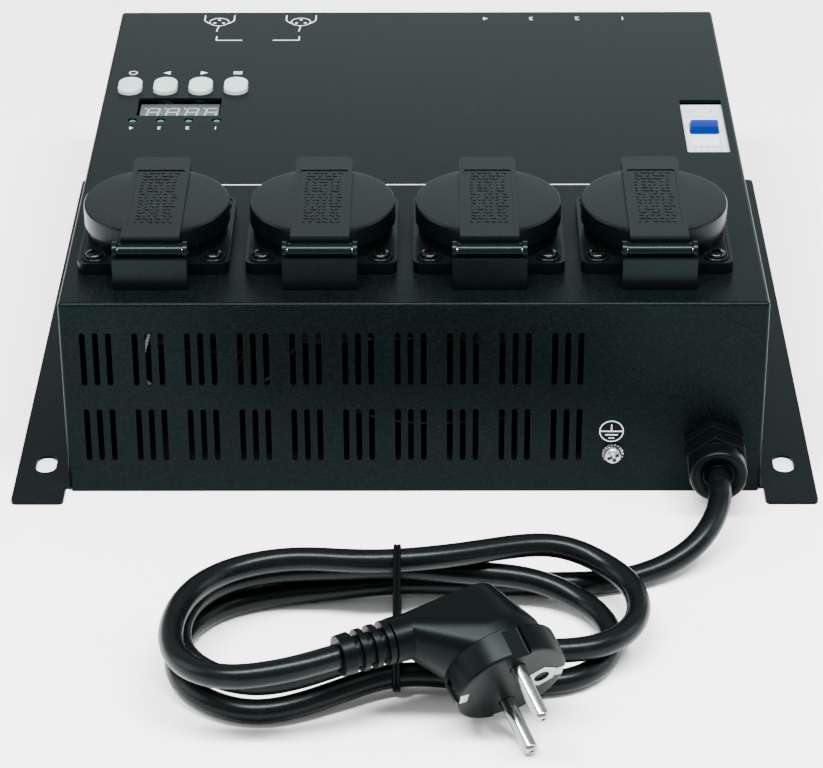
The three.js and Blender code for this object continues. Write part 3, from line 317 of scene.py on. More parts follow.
# A Paint is one material: each surface call files it under its name
class Paint:
    def __init__(self, name):
        self.name = name
        self.material = bpy.data.materials.new(name)
        self.material.use_nodes = True
        self.tree = self.material.node_tree
        self.tree.nodes.clear()
        self.shader = self.node("ShaderNodeBsdfPrincipled")
        self.node("ShaderNodeOutputMaterial", inputs={"Surface": self.shader})
        self.place = self.node("ShaderNodeTexCoord", output="Object")

    def node(self, kind, settings=None, inputs=None, output=0):
        made = self.tree.nodes.new(kind)
        for key, value in (settings or {}).items():
            setattr(made, key, value)
        self.feed(made, inputs or {})
        return Wire(self, made.outputs[output]) if len(made.outputs) else None

    def feed(self, made, inputs):
        for key, value in inputs.items():
            if isinstance(value, Wire):
                self.tree.links.new(value.socket, made.inputs[key])
            else:
                made.inputs[key].default_value = value

    def surface(self, **inputs):
        named = {key.replace("_", " "): value for key, value in inputs.items()}
        self.feed(self.shader.socket.node, named)
        finishes[self.name] = self.material

    def noise(self, scale, detail, where=None):
        inputs = {"Vector": where or self.place, "Scale": scale, "Detail": detail}
        return self.node("ShaderNodeTexNoise", {}, inputs, "Fac")

    def stretched(self, along):
        return self.node("ShaderNodeMapping", {}, {"Vector": self.place, "Scale": along})

    def cells(self, scale, output):
        return self.node("ShaderNodeTexVoronoi", {}, {"Vector": self.place, "Scale": scale}, output)

    def between(self, share, first, second):
        return self.node("ShaderNodeMix", {"data_type": "RGBA"}, {0: share, 6: first, 7: second}, 2)

    def steep(self, value, low, high):
        inputs = {"Value": value, "From Min": low, "From Max": high}
        return self.node("ShaderNodeMapRange", {}, inputs)

    def relief(self, height, strength, depth):
        inputs = {"Height": height, "Strength": strength, "Distance": depth}
        return self.node("ShaderNodeBump", {}, inputs)


def grey(value, green=1.0, blue=1.0):
    return (value, value * green, value * blue, 1)


def plain(name, tone, dark, light, rough, vary, **fixed):
    paint = Paint(name)
    cloud = paint.noise(*tone)
    base = paint.between(cloud, dark, light)
    paint.surface(Base_Color=base, Roughness=rough + cloud * vary, **fixed)


def moulded(name, tone, dark, light, fine, rough, vary, strength, depth, **fixed):
    paint = Paint(name)
    grain = paint.noise(*fine)
    paint.surface(
        Base_Color=paint.between(paint.noise(*tone), dark, light), Roughness=rough + grain * vary,
        Normal=paint.relief(grain, strength, depth), **fixed,
    )


def worn(name, tone, low, high, share, dark, light, rough, vary, **fixed):
    paint = Paint(name)
    wear = paint.steep(paint.noise(*tone), low, high)
    base = paint.between(wear * share, dark, light)
    paint.surface(Base_Color=base, Roughness=rough + wear * vary, **fixed)


def metal(name, dark, light, rough, stretch):
    paint = Paint(name)
    streak = paint.noise(900, 3, paint.stretched(stretch))
    paint.surface(
        Base_Color=paint.between(paint.noise(120, 2), dark, light), Metallic=1.0,
        Roughness=rough + streak * 0.16, Normal=paint.relief(streak, 0.12, 0.00008),
    )


def powderCoat():
    paint = Paint("powder_coat")
    cloud = paint.noise(9, 2)
    grain = paint.noise(1500, 2)
    fleck = paint.steep(paint.noise(1900, 2), 0.45, 0.7)
    base = paint.between(cloud, grey(0.0005, 1.9, 2.1), grey(0.0009, 1.9, 2.1))
    speckled = paint.between(fleck * 0.18, base, grey(0.012, 1.5, 1.6))
    paint.surface(
        Base_Color=speckled, Roughness=0.25 + grain * 0.16, Specular_IOR_Level=0.045,
        Specular_Tint=(0.6, 0.98, 1.0, 1), Normal=paint.relief(grain, 0.3, 0.00012),
    )


def zincPlate():
    paint = Paint("zinc_steel")
    shade = paint.node("ShaderNodeRGBToBW", {}, {"Color": paint.cells(220, "Color")})
    base = paint.between(shade, grey(0.26, 1.05, 1.08), grey(0.4, 1.03, 1.06))
    paint.surface(Base_Color=base, Metallic=1.0, Roughness=0.26 + shade * 0.14)


def cordSheath():
    paint = Paint("cord_sheath")
    grain = paint.noise(1100, 3)
    scuff = paint.steep(paint.noise(240, 5), 0.58, 0.74)
    base = paint.between(scuff * 0.3, grey(0.0012, 1.4, 1.6), grey(0.006, 1.2, 1.3))
    paint.surface(
        Base_Color=base, Roughness=0.22 + grain * 0.14, Specular_IOR_Level=0.1,
        Specular_Tint=(0.85, 1.0, 1.0, 1), Normal=paint.relief(grain, 0.14, 0.0001),
    )


def circuitBoard():
    paint = Paint("circuit_board")
    tracks = paint.node(
        "ShaderNodeTexBrick", {"offset": 0.5},
        {"Vector": paint.place, "Scale": 130, "Mortar Size": 0.03}, "Fac",
    )
    pads = paint.cells(420, "Distance") > 0.32
    green = paint.between(tracks, (0.008, 0.09, 0.045, 1), (0.02, 0.16, 0.08, 1))
    base = paint.between(pads, (0.45, 0.42, 0.33, 1), green)
    paint.surface(Base_Color=base, Roughness=0.34 + tracks * 0.1)


def windings():
    paint = Paint("transformer_core")
    layers = paint.node(
        "ShaderNodeTexWave", {"wave_type": "BANDS", "bands_direction": "Z"},
        {"Vector": paint.place, "Scale": 260, "Distortion": 0.4}, "Fac",
    )
    base = paint.between(layers, (0.10, 0.07, 0.04, 1), (0.26, 0.19, 0.11, 1))
    paint.surface(
        Base_Color=base, Roughness=0.4 + layers * 0.15, Metallic=0.4,
        Normal=paint.relief(layers, 0.4, 0.0003),
    )


powderCoat()
zincPlate()
cordSheath()
circuitBoard()
windings()
metal("nickel", grey(0.24, 1.05, 1.05), grey(0.36, 1.04, 1.04), 0.1, (1, 1, 0.2))
metal("aluminium", grey(0.5, 1.0, 1.01), grey(0.62, 1.0, 1.01), 0.32, (0.1, 1, 1))
moulded(
    "socket_plastic", (40, 2), grey(0.0010, 1.6, 1.8), grey(0.0016, 1.6, 1.8), (2100, 3), 0.2, 0.12, 0.06,
    0.00006, Specular_IOR_Level=0.09, Specular_Tint=(0.7, 0.98, 1.0, 1),
)
moulded(
    "key_plastic", (180, 3), (0.26, 0.36, 0.345, 1), (0.35, 0.45, 0.43, 1), (2400, 2), 0.38, 0.15, 0.12,
    0.0001, Subsurface_Weight=0.06,
)
moulded(
    "gland_nylon", (60, 2), grey(0.0007, 1.5, 1.6), grey(0.0012, 1.5, 1.6), (2600, 2), 0.27, 0.12, 0.05,
    0.00005, Specular_IOR_Level=0.055, Specular_Tint=(0.8, 1.0, 1.0, 1),
)
worn(
    "black_screw", (700, 4), 0.6, 0.75, 0.4, grey(0.016, 1.1, 1.15), grey(0.08, 1.04, 1.06), 0.16, 0.15,
    Metallic=0.9,
)
worn("print_ink", (1500, 4), 0.35, 0.5, 1, grey(0.36, 1.04, 1.04), grey(0.52, 1.03, 1.03), 0.5, 0.1)
plain(
    "display_face", (300, 3), grey(0.028, 1.35, 1.35), grey(0.042, 1.3, 1.3), 0.3, 0.1, Coat_Weight=0.1,
)
plain("segment_white", (500, 2), grey(0.2, 1.15, 1.13), grey(0.28, 1.12, 1.1), 0.3, 0.1)
plain(
    "lamp_green", (600, 2), (0.0, 0.03, 0.024, 1), (0.001, 0.085, 0.066, 1), 0.16, 0.08, Coat_Weight=0.45,
)
plain("breaker_white", (90, 3), (0.36, 0.42, 0.41, 1), (0.45, 0.5, 0.49, 1), 0.4, 0.1)
plain(
    "lever_blue", (300, 3), (0.0, 0.009, 0.1, 1), (0.0, 0.012, 0.125, 1), 0.34, 0.12,
    Specular_IOR_Level=0.08,
)
plain("terminal_plastic", (160, 3), (0.60, 0.58, 0.50, 1), (0.70, 0.68, 0.60, 1), 0.42, 0.1)
plain("floor", (3, 2), grey(0.86), grey(0.9), 0.6, 0.1)
print("finishes made:", len(finishes))

# The camera stands where the photograph was taken
view = {
    "eye": (6.522, -910.84, 562.02), "down": 29.68, "aside": -0.461, "tilt": -0.283, "lens": 134.504,
    "sensor": 36, "far": 20,
}


def placeCamera():
    data = bpy.data.cameras.new("photo_camera")
    data.lens = view["lens"]
    data.sensor_width = view["sensor"]
    data.sensor_fit = "HORIZONTAL"
    data.clip_end = view["far"]
    down, aside = math.radians(view["down"]), math.radians(view["aside"])
    level = math.cos(down)
    ahead = Vector((math.sin(aside) * level, math.cos(aside) * level, -math.sin(down)))
    camera = linked("photo_camera", data)
    camera.rotation_mode = "QUATERNION"
    camera.rotation_quaternion = (
        ahead.to_track_quat("-Z", "Y") @ Quaternion((0, 0, 1), math.radians(view["tilt"]))
    )
    camera.location = toFrame @ Vector(view["eye"])
    bpy.context.scene.camera = camera


lights = [
    {
        "name": "behind", "spot": (0.7, 2.3, 0.72), "aim": (0.1, 0, 0.05), "size": (2.8, 0.8), "watts": 14,
        "shade": (0.72, 0.98, 1.0),
    },
    {
        "name": "above", "spot": (0.0, -0.6, 1.5), "aim": (0, -0.05, 0), "size": (1.8, 0.22), "watts": 150,
        "shade": (1.0, 1.0, 1.0),
    },
]
for name, x, watts in (("left", -1.4, 13), ("right", 1.4, 12)):
    lights.append({
        "name": name, "spot": (x, -0.1, 0.6), "aim": (0, 0, 0.05), "size": (0.9, 0.9), "watts": watts,
        "shade": (0.95, 1.0, 1.0),
    })
world = {"shade": (1.0, 1.0, 1.0), "strength": 0.8}
floor = {"size": 6}


def placeStudio():
    for light in lights:
        data = bpy.data.lights.new(light["name"], "AREA")
        data.shape = "RECTANGLE"
        data.size, data.size_y = light["size"]
        data.energy = light["watts"]
        data.color = light["shade"]
        lamp = linked(light["name"], data)
        lamp.location = light["spot"]
        aim = Vector(light["aim"]) - Vector(light["spot"])
        lamp.rotation_euler = aim.to_track_quat("-Z", "Y").to_euler()
    backdrop = bpy.data.worlds.new("studio")
    backdrop.use_nodes = True
    ambient = backdrop.node_tree.nodes["Background"]
    ambient.inputs["Color"].default_value = (*world["shade"], 1)
    ambient.inputs["Strength"].default_value = world["strength"]
    bpy.context.scene.world = backdrop
    sheet = bmesh.new()
    bmesh.ops.create_grid(sheet, x_segments=2, y_segments=2, size=floor["size"] / 2)
    ground = asObject(sheet, "floor")
    ground.data.materials.append(finishes["floor"])


placeCamera()
placeStudio()
print("camera, lights and floor placed")

# Mains lead: one smooth line from the gland through the hank to the plug, in metres
cord = {
    "diameter": 0.0078, "length": 1.018, "layer": 0.0086, "floor": 0.004, "lift": 0.00221,
    "runIn": (0.0078, 0.0156, 0.0234), "runInSlope": 0.02, "crossing": 0.85, "arc": 35,
}
leadRoute = [
    (0.1035, -0.0198, 0.0175), (0.1035, -0.027, 0.0174), (0.1025, -0.0352, 0.0155),
    (0.0988, -0.0438, 0.0122), (0.0918, -0.0514, 0.008), (0.082, -0.0568, 0.005),
    (0.0715, -0.0614, 0.004), (0.061, -0.0638, 0.004), (0.053, -0.0643, 0.004), (0.046, -0.0644, 0.004),
]
hankTurns = [
    {"left": (-0.042, -0.105, 0.033), "right": (0.038, -0.097, 0.0252), "back": -0.066, "front": -0.117},
    {"left": (-0.042, -0.103, 0.032), "right": (0.0455, -0.09, 0.0265), "back": -0.07, "front": -0.115},
    {"left": (-0.039, -0.1125, 0.0355), "back": -0.081},
]
leftAngles = (90, 125, 158, 195, 225, 262)
rightAngles = (-76, -40, -8, 24, 58, 92)
climbShares = (0, 0, 0, 0.11, 0.25, 0.8)
tailRoute = [(-0.0765, -0.124, 0.022), (-0.0695, -0.141, 0.0235), (-0.055, -0.15, 0.0255)]
tie = {
    "x": -0.005, "diameter": 0.0013, "gap": 0.0001, "wraps": (-0.0006, 0.0006), "steps": 40, "samples": 20,
    "ahead": 0.055,
}
plug = {
    "face": (30.5, -142.4, 18.6), "turn": (114.6, -1.4, 25.2), "diameter": 36.8, "rim": 10, "edge": 1.2,
    "gripDiameter": 32, "backDepth": 33, "backDiameter": 17, "neckDepth": 26, "neckReach": 24.6,
    "neckDiameter": 14.4, "neckStraight": 5.2, "neckLength": 47, "core": 9.6, "rib": 14, "ribThick": 2.1,
    "ribPitch": 4.2, "ribs": 3, "ribTaper": 0.15, "collar": 4.2, "pinSpacing": 19, "pinDiameter": 4.8,
    "pinLength": 19, "pinRoot": 6, "notchWidth": 6.4, "notchDepth": 2.6, "earthOffset": 10,
    "earthHole": 4.9, "earthDepth": 14, "runIn": (15.6, 7.8, 0.3), "voxel": 0.7, "calming": 14,
}
inCase = Matrix.Translation((0, frontWall, 0))
plugPlace = at(*plug["face"], turn=plug["turn"])


def onCircle(circle, angle, height):
    grow = 3 / (2 + math.cos(math.radians(cord["arc"])))
    x, y, radius = circle
    turn = math.radians(angle)
    return (x + grow * radius * math.cos(turn), y + grow * radius * math.sin(turn), height)


def hankGuides():
    startX, startY, _ = leadRoute[-1]
    tieX, lift, layer = tie["x"], cord["lift"], cord["layer"]
    guides = [
        (startX - back, startY - back * cord["runInSlope"], cord["floor"]) for back in cord["runIn"]
    ]
    for index, turn in enumerate(hankTurns):
        height = cord["floor"] + layer * index
        leftX, leftY, leftRadius = turn["left"]
        middleX = (tieX + leftX) / 2
        guides += [
            (tieX, turn["back"], height + lift),
            (middleX, (turn["back"] + leftY + leftRadius) / 2, height + lift / 2),
        ]
        angles = leftAngles if "right" in turn else leftAngles[:3]
        guides += [onCircle(turn["left"], angle, height) for angle in angles]
        if "right" not in turn:
            break
        rightX, rightY, rightRadius = turn["right"]
        farX = (tieX + rightX) / 2
        guides += [
            (middleX, (turn["front"] + leftY - leftRadius) / 2, height + lift / 2),
            (tieX, turn["front"], height + lift),
            (farX, (turn["front"] + rightY - rightRadius) / 2, height + lift / 2),
        ]
        for angle, climb in zip(rightAngles, climbShares):
            guides.append(onCircle(turn["right"], angle, height + layer * climb))
        back = (hankTurns[index + 1]["back"] + rightY + rightRadius) / 2
        guides.append((farX, back, height + layer * cord["crossing"] + lift / 2))
    return guides


def cordGuides():
    neck = [
        plugPlace @ Vector((-plug["neckLength"] - along, 0, -plug["neckDepth"])) * 0.001
        for along in plug["runIn"]
    ]
    route = [Vector(point) for point in leadRoute + hankGuides() + tailRoute] + neck
    before = 2 * route[0] - route[1]
    after = 2 * route[-1] - route[-2]
    return [inCase @ point for point in [before, *route, after]]


def layCord():
    sheath = drawn("mains_cord", [cordGuides()], cord["diameter"], 6)
    sheath.data.splines[0].resolution_u = 10
    sheath.data.materials.append(finishes["cord_sheath"])
    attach(sheath, "housing")
    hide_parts("mains_lead", "cord_hank")
    return sheath


def splineAt(guides, share):
    first, second, third, fourth = guides
    back = 1 - share
    return (
        first * back ** 3 + second * (3 * share ** 3 - 6 * share ** 2 + 4)
        + third * (3 * back ** 3 - 6 * back ** 2 + 4) + fourth * share ** 3
    ) / 6


def cordAtTie():
    guides, samples, x = cordGuides(), tie["samples"], tie["x"]
    crossings = []
    for index in range(len(guides) - 3):
        run = [splineAt(guides[index:index + 4], step / samples) for step in range(samples + 1)]
        for here, there in zip(run, run[1:]):
            if (here.x - x) * (there.x - x) <= 0 and here.y < frontWall - tie["ahead"]:
                crossings.append(here.lerp(there, (x - here.x) / (there.x - here.x)))
    return crossings


def tieCord():
    reach = (cord["diameter"] + tie["diameter"]) / 2 + tie["gap"]
    rim = []
    for middle in cordAtTie():
        for step in range(tie["steps"]):
            turn = math.tau * step / tie["steps"]
            rim.append(Vector((middle.y + reach * math.cos(turn), middle.z + reach * math.sin(turn))))
    outline = [rim[index] for index in convex_hull_2d(rim)]
    loops = [[(tie["x"] + shift, place.x, place.y) for place in outline] for shift in tie["wraps"]]
    thing = drawn("cord_tie_wire", loops, tie["diameter"], 4, "POLY")
    for line in thing.data.splines:
        line.use_cyclic_u = True
        line.use_smooth = True
    return settle(asShape(thing), toFrame.inverted(), "cord_tie_wire", "gland_nylon", "cord_tie")


# Plug: a round face with two pins, a moulded grip and a ribbed relief, drawn face up
def plugGrip():
    shape = bmesh.new()
    rims = (
        (plug["gripDiameter"], at(z=-plug["rim"] + plug["edge"])),
        (plug["gripDiameter"], at(z=-plug["rim"] - 5)),
        (plug["backDiameter"], at(z=-plug["backDepth"])),
        (plug["neckDiameter"], at(-plug["neckReach"], 0, -plug["neckDepth"], alongX)),
    )
    for diameter, where in rims:
        bmesh.ops.create_circle(shape, segments=40, radius=diameter / 2 - 0.2, matrix=where)
    inside = vertsIn(bmesh.ops.convex_hull(shape, input=shape.verts)["geom_interior"])
    bmesh.ops.delete(shape, geom=inside, context="VERTS")
    grip = asObject(shape, "grip")
    even = grip.modifiers.new("even", "REMESH")
    even.mode = "VOXEL"
    even.voxel_size = plug["voxel"]
    calm = grip.modifiers.new("calm", "SMOOTH")
    calm.factor = 0.5
    calm.iterations = plug["calming"]
    return asShape(grip)


def plugRelief():
    core, rib, wide = plug["core"] / 2, plug["rib"] / 2, plug["neckDiameter"] / 2
    start, end = plug["neckReach"] - 2, plug["neckLength"]
    straight, collar = plug["neckReach"] + plug["neckStraight"], end - plug["collar"]
    profile = [(0, start), (wide, start), (wide, straight), (core, straight)]
    for index in range(plug["ribs"]):
        low = collar - (plug["ribs"] - index) * plug["ribPitch"]
        high, reach = low + plug["ribThick"], rib - index * plug["ribTaper"]
        profile += [(core, low), (reach, low), (reach, high), (core, high)]
    profile += [(core, collar), (rib - 0.4, collar), (rib - 0.6, end), (0, end)]
    return turned(profile, 40, 0.35, 50)


def plugShell():
    radius, rim, edge = plug["diameter"] / 2, plug["rim"], plug["edge"]
    profile = [
        (0, -rim), (radius - 0.4, -rim), (radius, -rim + 0.4), (radius, -edge), (radius - 0.35, -0.35),
        (radius - edge, 0), (0, 0),
    ]
    relief = (plugRelief(), at(z=-plug["neckDepth"], turn=(0, -90, 0)))
    body = built(joined(turned(profile, 72), plugGrip()), relief)
    root, deep, aside = plug["pinRoot"], plug["earthDepth"], plug["earthOffset"]
    tools = []
    for side in (1, -1):
        notch = block(plug["notchWidth"], 2 * plug["notchDepth"], rim + 1, 0.6)
        tools += [
            (post(plug["pinDiameter"] + 0.5, root + 1), at(0, side * plug["pinSpacing"] / 2, -root)),
            (notch, at(0, side * radius, -rim)),
            (block(5.2, 3.6, 8.5), at(side * (radius - 0.4), 0, -7.5)),
        ]
    tools += [
        (post(plug["earthHole"], deep + 1), at(aside, 0, -deep)), (prism(6, 5.6, 0.9), at(aside, 0, -0.5)),
    ]
    return rounded(cut(body, *tools), 0.22, 35)


def plugPin():
    root, radius, length = -plug["pinRoot"], plug["pinDiameter"] / 2, plug["pinLength"]
    tip = ((0.94, 0.9), (0.78, 0.3), (0.6, 0), (0.4, 0), (0.3, 0.2), (0.28, 1.6), (0, 1.6))
    profile = [(0, root), (radius, root), (radius, length - 1.5)]
    return turned(profile + [(radius * share, length - back) for share, back in tip], 40)


def plugMetal():
    aside = plug["earthOffset"]
    plate = cut(prism(6, 5.3, 0.6, 0.12), (post(5.1, 2), at(z=-0.5)))
    parts = [(plate, at(aside, 0, -0.42)), (ring(5.3, 4.7, 10), at(aside, 0, -12))]
    for side in (1, -1):
        x = side * (plug["diameter"] / 2 - 1.75)
        parts.append((block(0.7, 4.2, 6.6, 0, 0.2), at(x, 0, -7.1)))
        parts.append((block(2.6, 4.4, 0.7, 0.3, 0.15), at(x - side * 0.55, 0, -0.68)))
    return gathered(*parts)


def makePlug():
    pinPlaces = [plugPlace @ at(y=side * plug["pinSpacing"] / 2) for side in (1, -1)]
    return [
        settle(plugShell(), plugPlace, "plug_shell", "gland_nylon", "plug_body"),
        settle(plugMetal(), plugPlace, "plug_earth_metal", "nickel"),
        *settleEach(plugPin(), pinPlaces, "plug_contact", "nickel", "plug_pin"),
    ]


sheath = layCord()
onCord = [tieCord(), *makePlug()]
print("cord, tie and plug made")

# Hood: folded sheet with out-turned flanges, slots and every opening in its faces. The y of the
# hinge and of the lid's strap is counted from the middle of their socket
vents = {
    "width": 2, "height": 20.5, "firstX": -112.3, "pitch": 4.41, "groupPitch": 17.8, "groups": 10,
    "slots": 3, "rows": (52.45, 22.75),
}
sockets = {
    "y": 47, "firstX": -89.25, "pitch": 57.5, "side": 52, "corner": 3.3, "top": 78.2, "body": 43,
    "rim": 48.6, "rimTop": 81.9, "recess": 39, "recessDepth": 17.5, "low": 44.2, "screwReach": 20.3,
    "contactReach": 9.5, "contactHole": 5.6,
}
hinge = {
    "y": -31.8, "z": 86.2, "width": 25.3, "front": -37.4, "ear": 1.5, "earRadius": 3.2, "wall": 1.6,
    "barrel": 5.2, "pin": 2.4, "play": 0.4, "lipTop": 85.4,
}
lid = {
    "diameter": 50.6, "low": 82.2, "top": 89.7, "wall": 1.7, "deck": 2.2, "strapWidth": 20,
    "strapTop": 90.8, "strapFront": -30.2, "strapBack": 32.2, "strapThick": 2.6, "strapCorner": 2.6,
    "lip": 3.4,
}
grain = {
    "rows": 17, "columns": 6, "across": 2.2, "length": 1.7, "width": 0.5, "thick": 0.3, "sunk": 0.36,
}
keys = {
    "x": (-110.2, -96.6, -83.0, -69.4), "y": 176.6, "width": 9.2, "length": 13.4, "top": 75.8, "low": 71.7,
    "collar": 2.2,
}
display = {
    "x": -90.05, "y": 158.9, "windowWidth": 31.7, "windowLength": 15.9, "width": 30.2, "length": 14,
    "top": 71.9, "low": 64.7, "rim": 1.6, "sunk": 0.25, "digitX": -89.0, "digitPitch": 7.4,
    "digitWidth": 4.3, "digitHeight": 7.6, "stroke": 0.6, "thick": 0.12, "lean": 0.12,
}
lamps = {
    "x": (-106.9, -96.3, -85.7, -75.1), "y": 146.7, "diameter": 3, "top": 73.8, "low": 68.5, "base": 1.9,
    "legReach": 1.27, "leg": 0.5, "legLength": 3.8,
}
breaker = {
    "x": 108.55, "y": 141.4, "windowWidth": 15.7, "windowLength": 46.4, "face": 72.3, "low": 9.3,
    "width": 17.2, "length": 82, "nose": 45, "pivotY": -3.4, "pivotZ": 65.9, "rest": -35, "drum": 11.2,
    "paddle": 10.9, "thick": 3.6, "leverWidth": 10.4, "lines": (11.6, -15.2), "ink": 0.06,
    "marks": (
        (-15.9, (1.6, 1.2, 1.8, 1.4, 1.7)), (-18.4, (1.2, 1.8, 1.0, 1.6, 1.2)),
        (-20.9, (1.8, 1.4, 1.7, 1.0, 1.6)),
    ),
}
gland = {
    "x": 103.5, "z": 17.5, "across": 20, "hex": 4.7, "nut": 5.3, "nutHex": 7.2, "bore": 9.6, "shank": 16,
    "hole": 16.6, "turn": 7,
}
earth = {"x": 68.5, "z": 15.6, "head": 6.2, "headHeight": 2.2, "gap": 0.3, "hole": 4.4, "teeth": 18}
rear = {
    "maleX": -79.7, "femaleX": -46.7, "z": 40, "xlrHole": 24, "fuseX": (27.7, 46.25, 64.8, 83.35),
    "fuseHole": 12.8, "face": 2.0, "cup": 15, "pinReach": 4.75, "screws": (9.5, 12), "core": 18.3,
    "room": 7.6, "latchUp": 10.8,
}


socketPlaces = [at(sockets["firstX"] + index * sockets["pitch"], sockets["y"]) for index in channels]
screwPlaces = [
    at(across * sockets["screwReach"], along * sockets["screwReach"])
    for along in (-1, 1) for across in (-1, 1)
]


def openEdges(shape, test):
    return [side for side in shape.edges if side.is_boundary and all(test(end.co) for end in side.verts)]


def extruded(shape, lines):
    return vertsIn(bmesh.ops.extrude_edge_only(shape, edges=lines)["geom"])


def foldedHood():
    wide, length, height, sheet = case["width"], case["length"], case["height"], case["sheet"]
    shape = cuboid(wide, length, height - sheet, at(0, length / 2, (height + sheet) / 2))
    under = [face for face in shape.faces if face.normal.z < -0.5]
    bmesh.ops.delete(shape, geom=under, context="FACES_ONLY")
    bevelled(shape, [side for side in shape.edges if not side.is_boundary], case["bend"], 4)
    feet = openEdges(shape, lambda spot: abs(spot.x) > wide / 2 - 0.01)
    for tip in extruded(shape, feet):
        tip.co.x += math.copysign(case["flangeReach"], tip.co.x)
    folds = [side for side in feet if side.is_valid and not side.is_boundary]
    bevelled(shape, folds, case["bend"], 4)
    level = [face for face in shape.faces if abs(face.normal.z) > 0.9]
    flange = [face for face in level if face.calc_center_median().z < 10]
    ends = {side for face in flange for side in face.edges if side.is_boundary}
    fronts = [side for side in ends if all(end.co.y < 10 for end in side.verts)]
    for end in extruded(shape, fronts):
        end.co.y = case["flangeFront"]
    backs = {end for side in ends for end in side.verts if end.co.y > length - 10}
    for end in backs:
        if abs(end.co.x) > wide / 2 + 0.1:
            end.co.y = case["flangeRear"]
    outer = [
        end for end in shape.verts
        if end.co.z < sheet + 0.01 and end.is_boundary and len(end.link_edges) == 2
        and (abs(end.co.x) > wide / 2 + 10 or end.co.y < -1)
    ]
    bevelled(shape, outer, case["flangeCorner"], 6, affect="VERTICES")
    skirts = openEdges(shape, lambda spot: abs(spot.x) < wide / 2 - 0.5 and spot.z < 5)
    for end in extruded(shape, skirts):
        end.co.z = case["skirtLow"]
    bmesh.ops.recalc_face_normals(shape, faces=shape.faces)
    hood = asObject(shape, "hood")
    wall = hood.modifiers.new("wall", "SOLIDIFY")
    wall.thickness = sheet
    wall.offset = -1
    return asShape(hood)


def hoodTools():
    top, behind, through, gap = case["height"] - 4, case["length"] + 3, 8, case["gap"]
    tools = []
    for row in vents["rows"]:
        for group in range(vents["groups"]):
            for index in range(vents["slots"]):
                x = vents["firstX"] + group * vents["groupPitch"] + index * vents["pitch"]
                slot = obround(vents["width"], vents["height"], 6)
                tools.append((slot, at(x, 3, row, toViewer)))
    for index, here in enumerate(socketPlaces):
        opening = post(sockets["body"] + gap, through, steps=60)
        tools.append((opening, here @ at(z=top, turn=(0, 0, 1.7))))
        for screw in screwPlaces:
            tools.append((post(case["screwHole"], through, steps=16), here @ screw @ at(z=top)))
        key = obround(keys["width"] + gap, keys["length"] + gap, through)
        lamp = post(lamps["diameter"] + gap, through, steps=24)
        fuse = post(rear["fuseHole"], through)
        tools += [
            (key, at(keys["x"][index], keys["y"], top)), (lamp, at(lamps["x"][index], lamps["y"], top)),
            (fuse, at(rear["fuseX"][index], behind, rear["z"], toViewer)),
        ]
    for window in (display, breaker):
        opening = block(window["windowWidth"], window["windowLength"], through, 0.5)
        tools.append((opening, at(window["x"], window["y"], top)))
    tools.append((post(gland["hole"], through), at(gland["x"], 4, gland["z"], toViewer)))
    tools.append((post(earth["hole"], through, steps=24), at(earth["x"], 4, earth["z"], toViewer)))
    for x in (rear["maleX"], rear["femaleX"]):
        tools.append((post(rear["xlrHole"], through), at(x, behind, rear["z"], toViewer)))
    for side in (-1, 1):
        for y in case["slotY"]:
            slot = obround(case["slotWidth"], case["slotLength"], 6)
            tools.append((slot, at(side * case["slotX"], y, -2)))
    return tools


hood = rounded(cut(foldedHood(), *hoodTools()), case["edge"], 40)
settle(hood, at(), "hood", "powder_coat", "cover", smooth=50)
print("hood folded and cut")


# Screws with a cross recess
def panScrew(head, height, shank, length):
    radius = head / 2
    crown = ((1, 0), (1, 0.4), (0.96, 0.65), (0.84, 0.86), (0.55, 0.97), (0, 1))
    profile = [(0, -length), (shank / 2, -length), (shank / 2, -0.1)]
    profile += [(radius * share, height * up) for share, up in crown]
    arm = (head * 0.7, head * 0.2)
    cross = joined(block(arm[0], arm[1], height), block(arm[1], arm[0], height))
    return cut(turned(profile, 32), (cross, at(z=height * 0.3)))


# Socket bodies: flange with a raised edge, bracket with two ears, rim and recess
def socketBody():
    low, top, depth = case["height"] + 0.3, sockets["top"], sockets["recessDepth"]
    side, wide = sockets["side"], hinge["width"]
    hingeY, frontY, backY = hinge["y"], hinge["front"], -lid["diameter"] / 2 - 0.3
    seat = hinge["z"] - hinge["barrel"] / 2 - 0.3
    plate = block(side, side, top - low, sockets["corner"])
    field = block(side - 2.4, side - 2.4, 1, sockets["corner"] - 1.2)
    body = copied(cut(plate, (field, at(z=top - low - 0.4))), at(z=low))
    additions = [
        (post(sockets["body"], top - sockets["low"] - 1, steps=64), at(z=sockets["low"])),
        (post(sockets["rim"], sockets["rimTop"] - low, steps=72), at(z=low)),
        (block(wide, backY - frontY, seat - low), at(0, (frontY + backY) / 2, low)),
        (block(wide, 14.7, top - low - 0.2), at(0, frontY + 7.35, low)),
        (block(wide, hinge["wall"], hinge["lipTop"] - low), at(0, frontY + hinge["wall"] / 2, low)),
    ]
    boss = [(0, 0), (4.25, 0), (4.25, 0.6), (3.95, 0.95), (3.65, 0.95), (3.4, 0.6), (0, 0.6)]
    tools = [(post(sockets["recess"], 30, steps=72), at(z=top - depth))]
    for across in (-1, 1):
        earX = across * (wide - hinge["ear"]) / 2
        ear = post(2 * hinge["earRadius"], hinge["ear"], steps=40)
        additions.append((ear, at(earX - hinge["ear"] / 2, hingeY, hinge["z"], alongX)))
        web = block(hinge["ear"], 2 * hinge["earRadius"], hinge["z"] - low)
        additions.append((web, at(earX, hingeY, low)))
        contact = post(sockets["contactHole"], 13, steps=24)
        tools.append((contact, at(across * sockets["contactReach"], 0, top - depth - 12)))
    for screw in screwPlaces:
        additions.append((turned(boss, 40), screw @ at(z=top - 0.45)))
        tools.append((post(case["screwHole"], 12, steps=16), screw @ at(z=70)))
    tools.append(hingeBore(wide))
    return rounded(cut(built(body, *additions), *tools), 0.28, 35)


